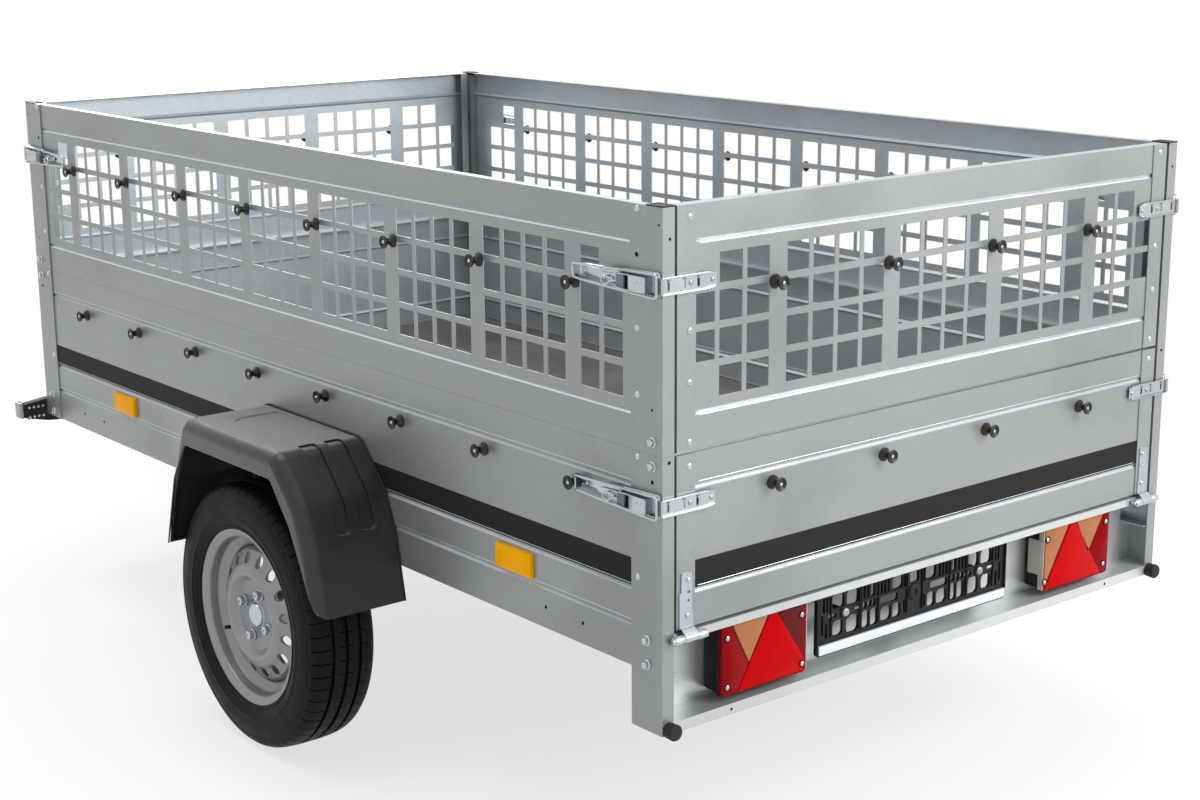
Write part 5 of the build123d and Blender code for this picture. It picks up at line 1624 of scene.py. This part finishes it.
    def wheel(self):
        x0, x1, _, _, z0, z1 = span("jockey_wheel")
        at = middle_of("jockey_wheel")
        w, r = (x1 - x0) / 2, (z1 - z0) / 2
        half = arcs([(0, r), (w - 9, r, 5), (w, r - 10, 6), (w, 68, 2), (w - 4, 66, 1),
                     (0, 64)], 5)
        band = lathe([(-a, b) for a, b in half[:0:-1]] + half[:-1], at, "x", 64, closed=True)
        finished([band], "Jockey_tyre", "rubber", "jockey_wheel", body="jockey_wheel")
        half = arcs([(w - 1, 66), (w - 8, 60, 3), (11, 56, 5), (11, 30, 5), (w - 2, 24, 2),
                     (w, 20, 2), (w, 8.6)], 4)
        disc = lathe(half + [(-a, b) for a, b in half[::-1]], at, "x", 64, closed=True)
        finished([disc], "Jockey_disc", "dull", body="jockey_wheel", slot="solid_rubber")


# ---------------------------------------------------------------- stage

WHITE = (1, 1, 1)
LAMPS = (           # name, place, aim and power
    ("Rear_lamp", (2.4, -6.2, 3.6), (0.1, -0.8, 0.7), 375.0),
    ("Top_lamp", (-0.8, 0.2, 6.0), (0, 0, 0.5), 170.0),
    ("Front_lamp", (2.2, 6.0, 3.6), (0.2, 0.2, 0.6), 240.0),
)
LAMP_SIZE = 4.0
CAMERA_PLACE = (-2038.66, -2360.67, 1330.90)
CAMERA_TURN = Vector((1.72830345, -0.618839422, 0.476738501))   # axis, as long as the angle
CAMERA_LENS = 61.083


class TRAILER_OT_stage(bpy.types.Operator):
    """Add the floor, the lamps, the sky and the camera"""
    bl_idname = "trailer.stage"
    bl_label = "Stage"

    def execute(self, context):
        self.floor()
        self.sky()
        self.lamps()
        self.camera()
        bpy.context.scene.view_settings.view_transform = "Standard"
        return {"FINISHED"}

    def floor(self):
        """A pale floor that keeps the shadow and turns white away from the trailer."""
        fresh()
        bpy.ops.mesh.primitive_plane_add(size=60, location=(0, 0, -0.0005))
        ground = named(settle(bpy.context.object), "Studio_floor")
        look = Look("Studio floor")
        pale = look.tree.nodes["Principled BSDF"]
        look.feed(pale, {"Base Color": (0.93, 0.93, 0.93), "Roughness": 0.9,
                         "Specular IOR Level": 0.0})
        white = look.add("ShaderNodeEmission", {"Color": WHITE})
        reach = look.add("ShaderNodeVectorMath", {0: look.pattern()}, operation="LENGTH")
        far = look.ranged(reach.outputs["Value"], 1.6, 3.8, 0.70, 1.0)
        mix = look.add("ShaderNodeMixShader", {
            0: look.maths("MULTIPLY", far, look.seen()), 1: pale.outputs[0],
            2: white.outputs[0]})
        look.feed(look.tree.nodes["Material Output"], {"Surface": mix.outputs[0]})
        ground.data.materials.append(look.owner)

    def sky(self):
        world = bpy.data.worlds.new("Studio")
        bpy.context.scene.world = world
        look = Look(world)
        look.tree.nodes.clear()
        light = look.add("ShaderNodeBackground", {"Color": (0.93, 0.96, 1.0), "Strength": 0.55})
        white = look.add("ShaderNodeBackground", {"Color": WHITE, "Strength": 1.0})
        mix = look.add("ShaderNodeMixShader", {
            0: look.seen(), 1: light.outputs[0], 2: white.outputs[0]})
        look.add("ShaderNodeOutputWorld", {0: mix.outputs[0]})

    def lamps(self):
        for name, place, aim, power in LAMPS:
            fresh()
            bpy.ops.object.light_add(type="AREA", location=place)
            lamp = bpy.context.object
            lamp.name = name
            lamp.data.size = LAMP_SIZE
            lamp.data.energy = power
            way = Vector(aim) - Vector(place)
            lamp.rotation_euler = way.to_track_quat("-Z", "Y").to_euler()

    def camera(self):
        fresh()
        bpy.ops.object.camera_add()
        camera = bpy.context.object
        camera.name = "Studio_camera"
        camera.data.sensor_width = 36.0
        camera.data.lens = CAMERA_LENS
        camera.data.clip_end = 100.0
        turn = Matrix.Rotation(CAMERA_TURN.length, 3, CAMERA_TURN.normalized())
        flip = Matrix.Diagonal((1, -1, -1))
        camera.matrix_world = (Matrix.Translation(spot(*CAMERA_PLACE))
                               @ (flip @ turn).transposed().to_4x4())
        bpy.context.scene.camera = camera


CLASSES = (
    TrailerFinish, TrailerSizes, TRAILER_OT_frame_finish, TRAILER_OT_tyres, TRAILER_OT_rims,
    TRAILER_OT_hubs, TRAILER_OT_fenders, TRAILER_OT_knobs, TRAILER_OT_lamps,
    TRAILER_OT_plate_holder, TRAILER_OT_latches, TRAILER_OT_keepers, TRAILER_OT_hinges,
    TRAILER_OT_trim, TRAILER_OT_fastenings, TRAILER_OT_creases, TRAILER_OT_nose,
    TRAILER_OT_stage,
)


class TRAILER_PT_pieces(bpy.types.Panel):
    """Pieces of the trailer"""
    bl_idname = "TRAILER_PT_pieces"
    bl_label = "Trailer"
    bl_space_type = "VIEW_3D"
    bl_region_type = "UI"
    bl_category = "Trailer"

    def draw(self, context):
        layout = self.layout
        for made in CLASSES:
            if issubclass(made, bpy.types.Operator):
                layout.operator(made.bl_idname, text=made.bl_label)
        for group in (context.scene.trailer_finish, context.scene.trailer_sizes):
            for name in group.bl_rna.properties.keys():
                if name not in ("rna_type", "name"):
                    layout.prop(group, name)


def register():
    for made in (*CLASSES, TRAILER_PT_pieces):
        bpy.utils.register_class(made)
    bpy.types.Scene.trailer_finish = bpy.props.PointerProperty(type=TrailerFinish)
    bpy.types.Scene.trailer_sizes = bpy.props.PointerProperty(type=TrailerSizes)


def unregister():
    del bpy.types.Scene.trailer_sizes
    del bpy.types.Scene.trailer_finish
    for made in (TRAILER_PT_pieces, *reversed(CLASSES)):
        bpy.utils.unregister_class(made)


def main():
    register()
    for made in CLASSES:
        if issubclass(made, bpy.types.Operator):
            group, name = made.bl_idname.split(".")
            getattr(getattr(bpy.ops, group), name)()


if __name__ == "__main__":
    main()
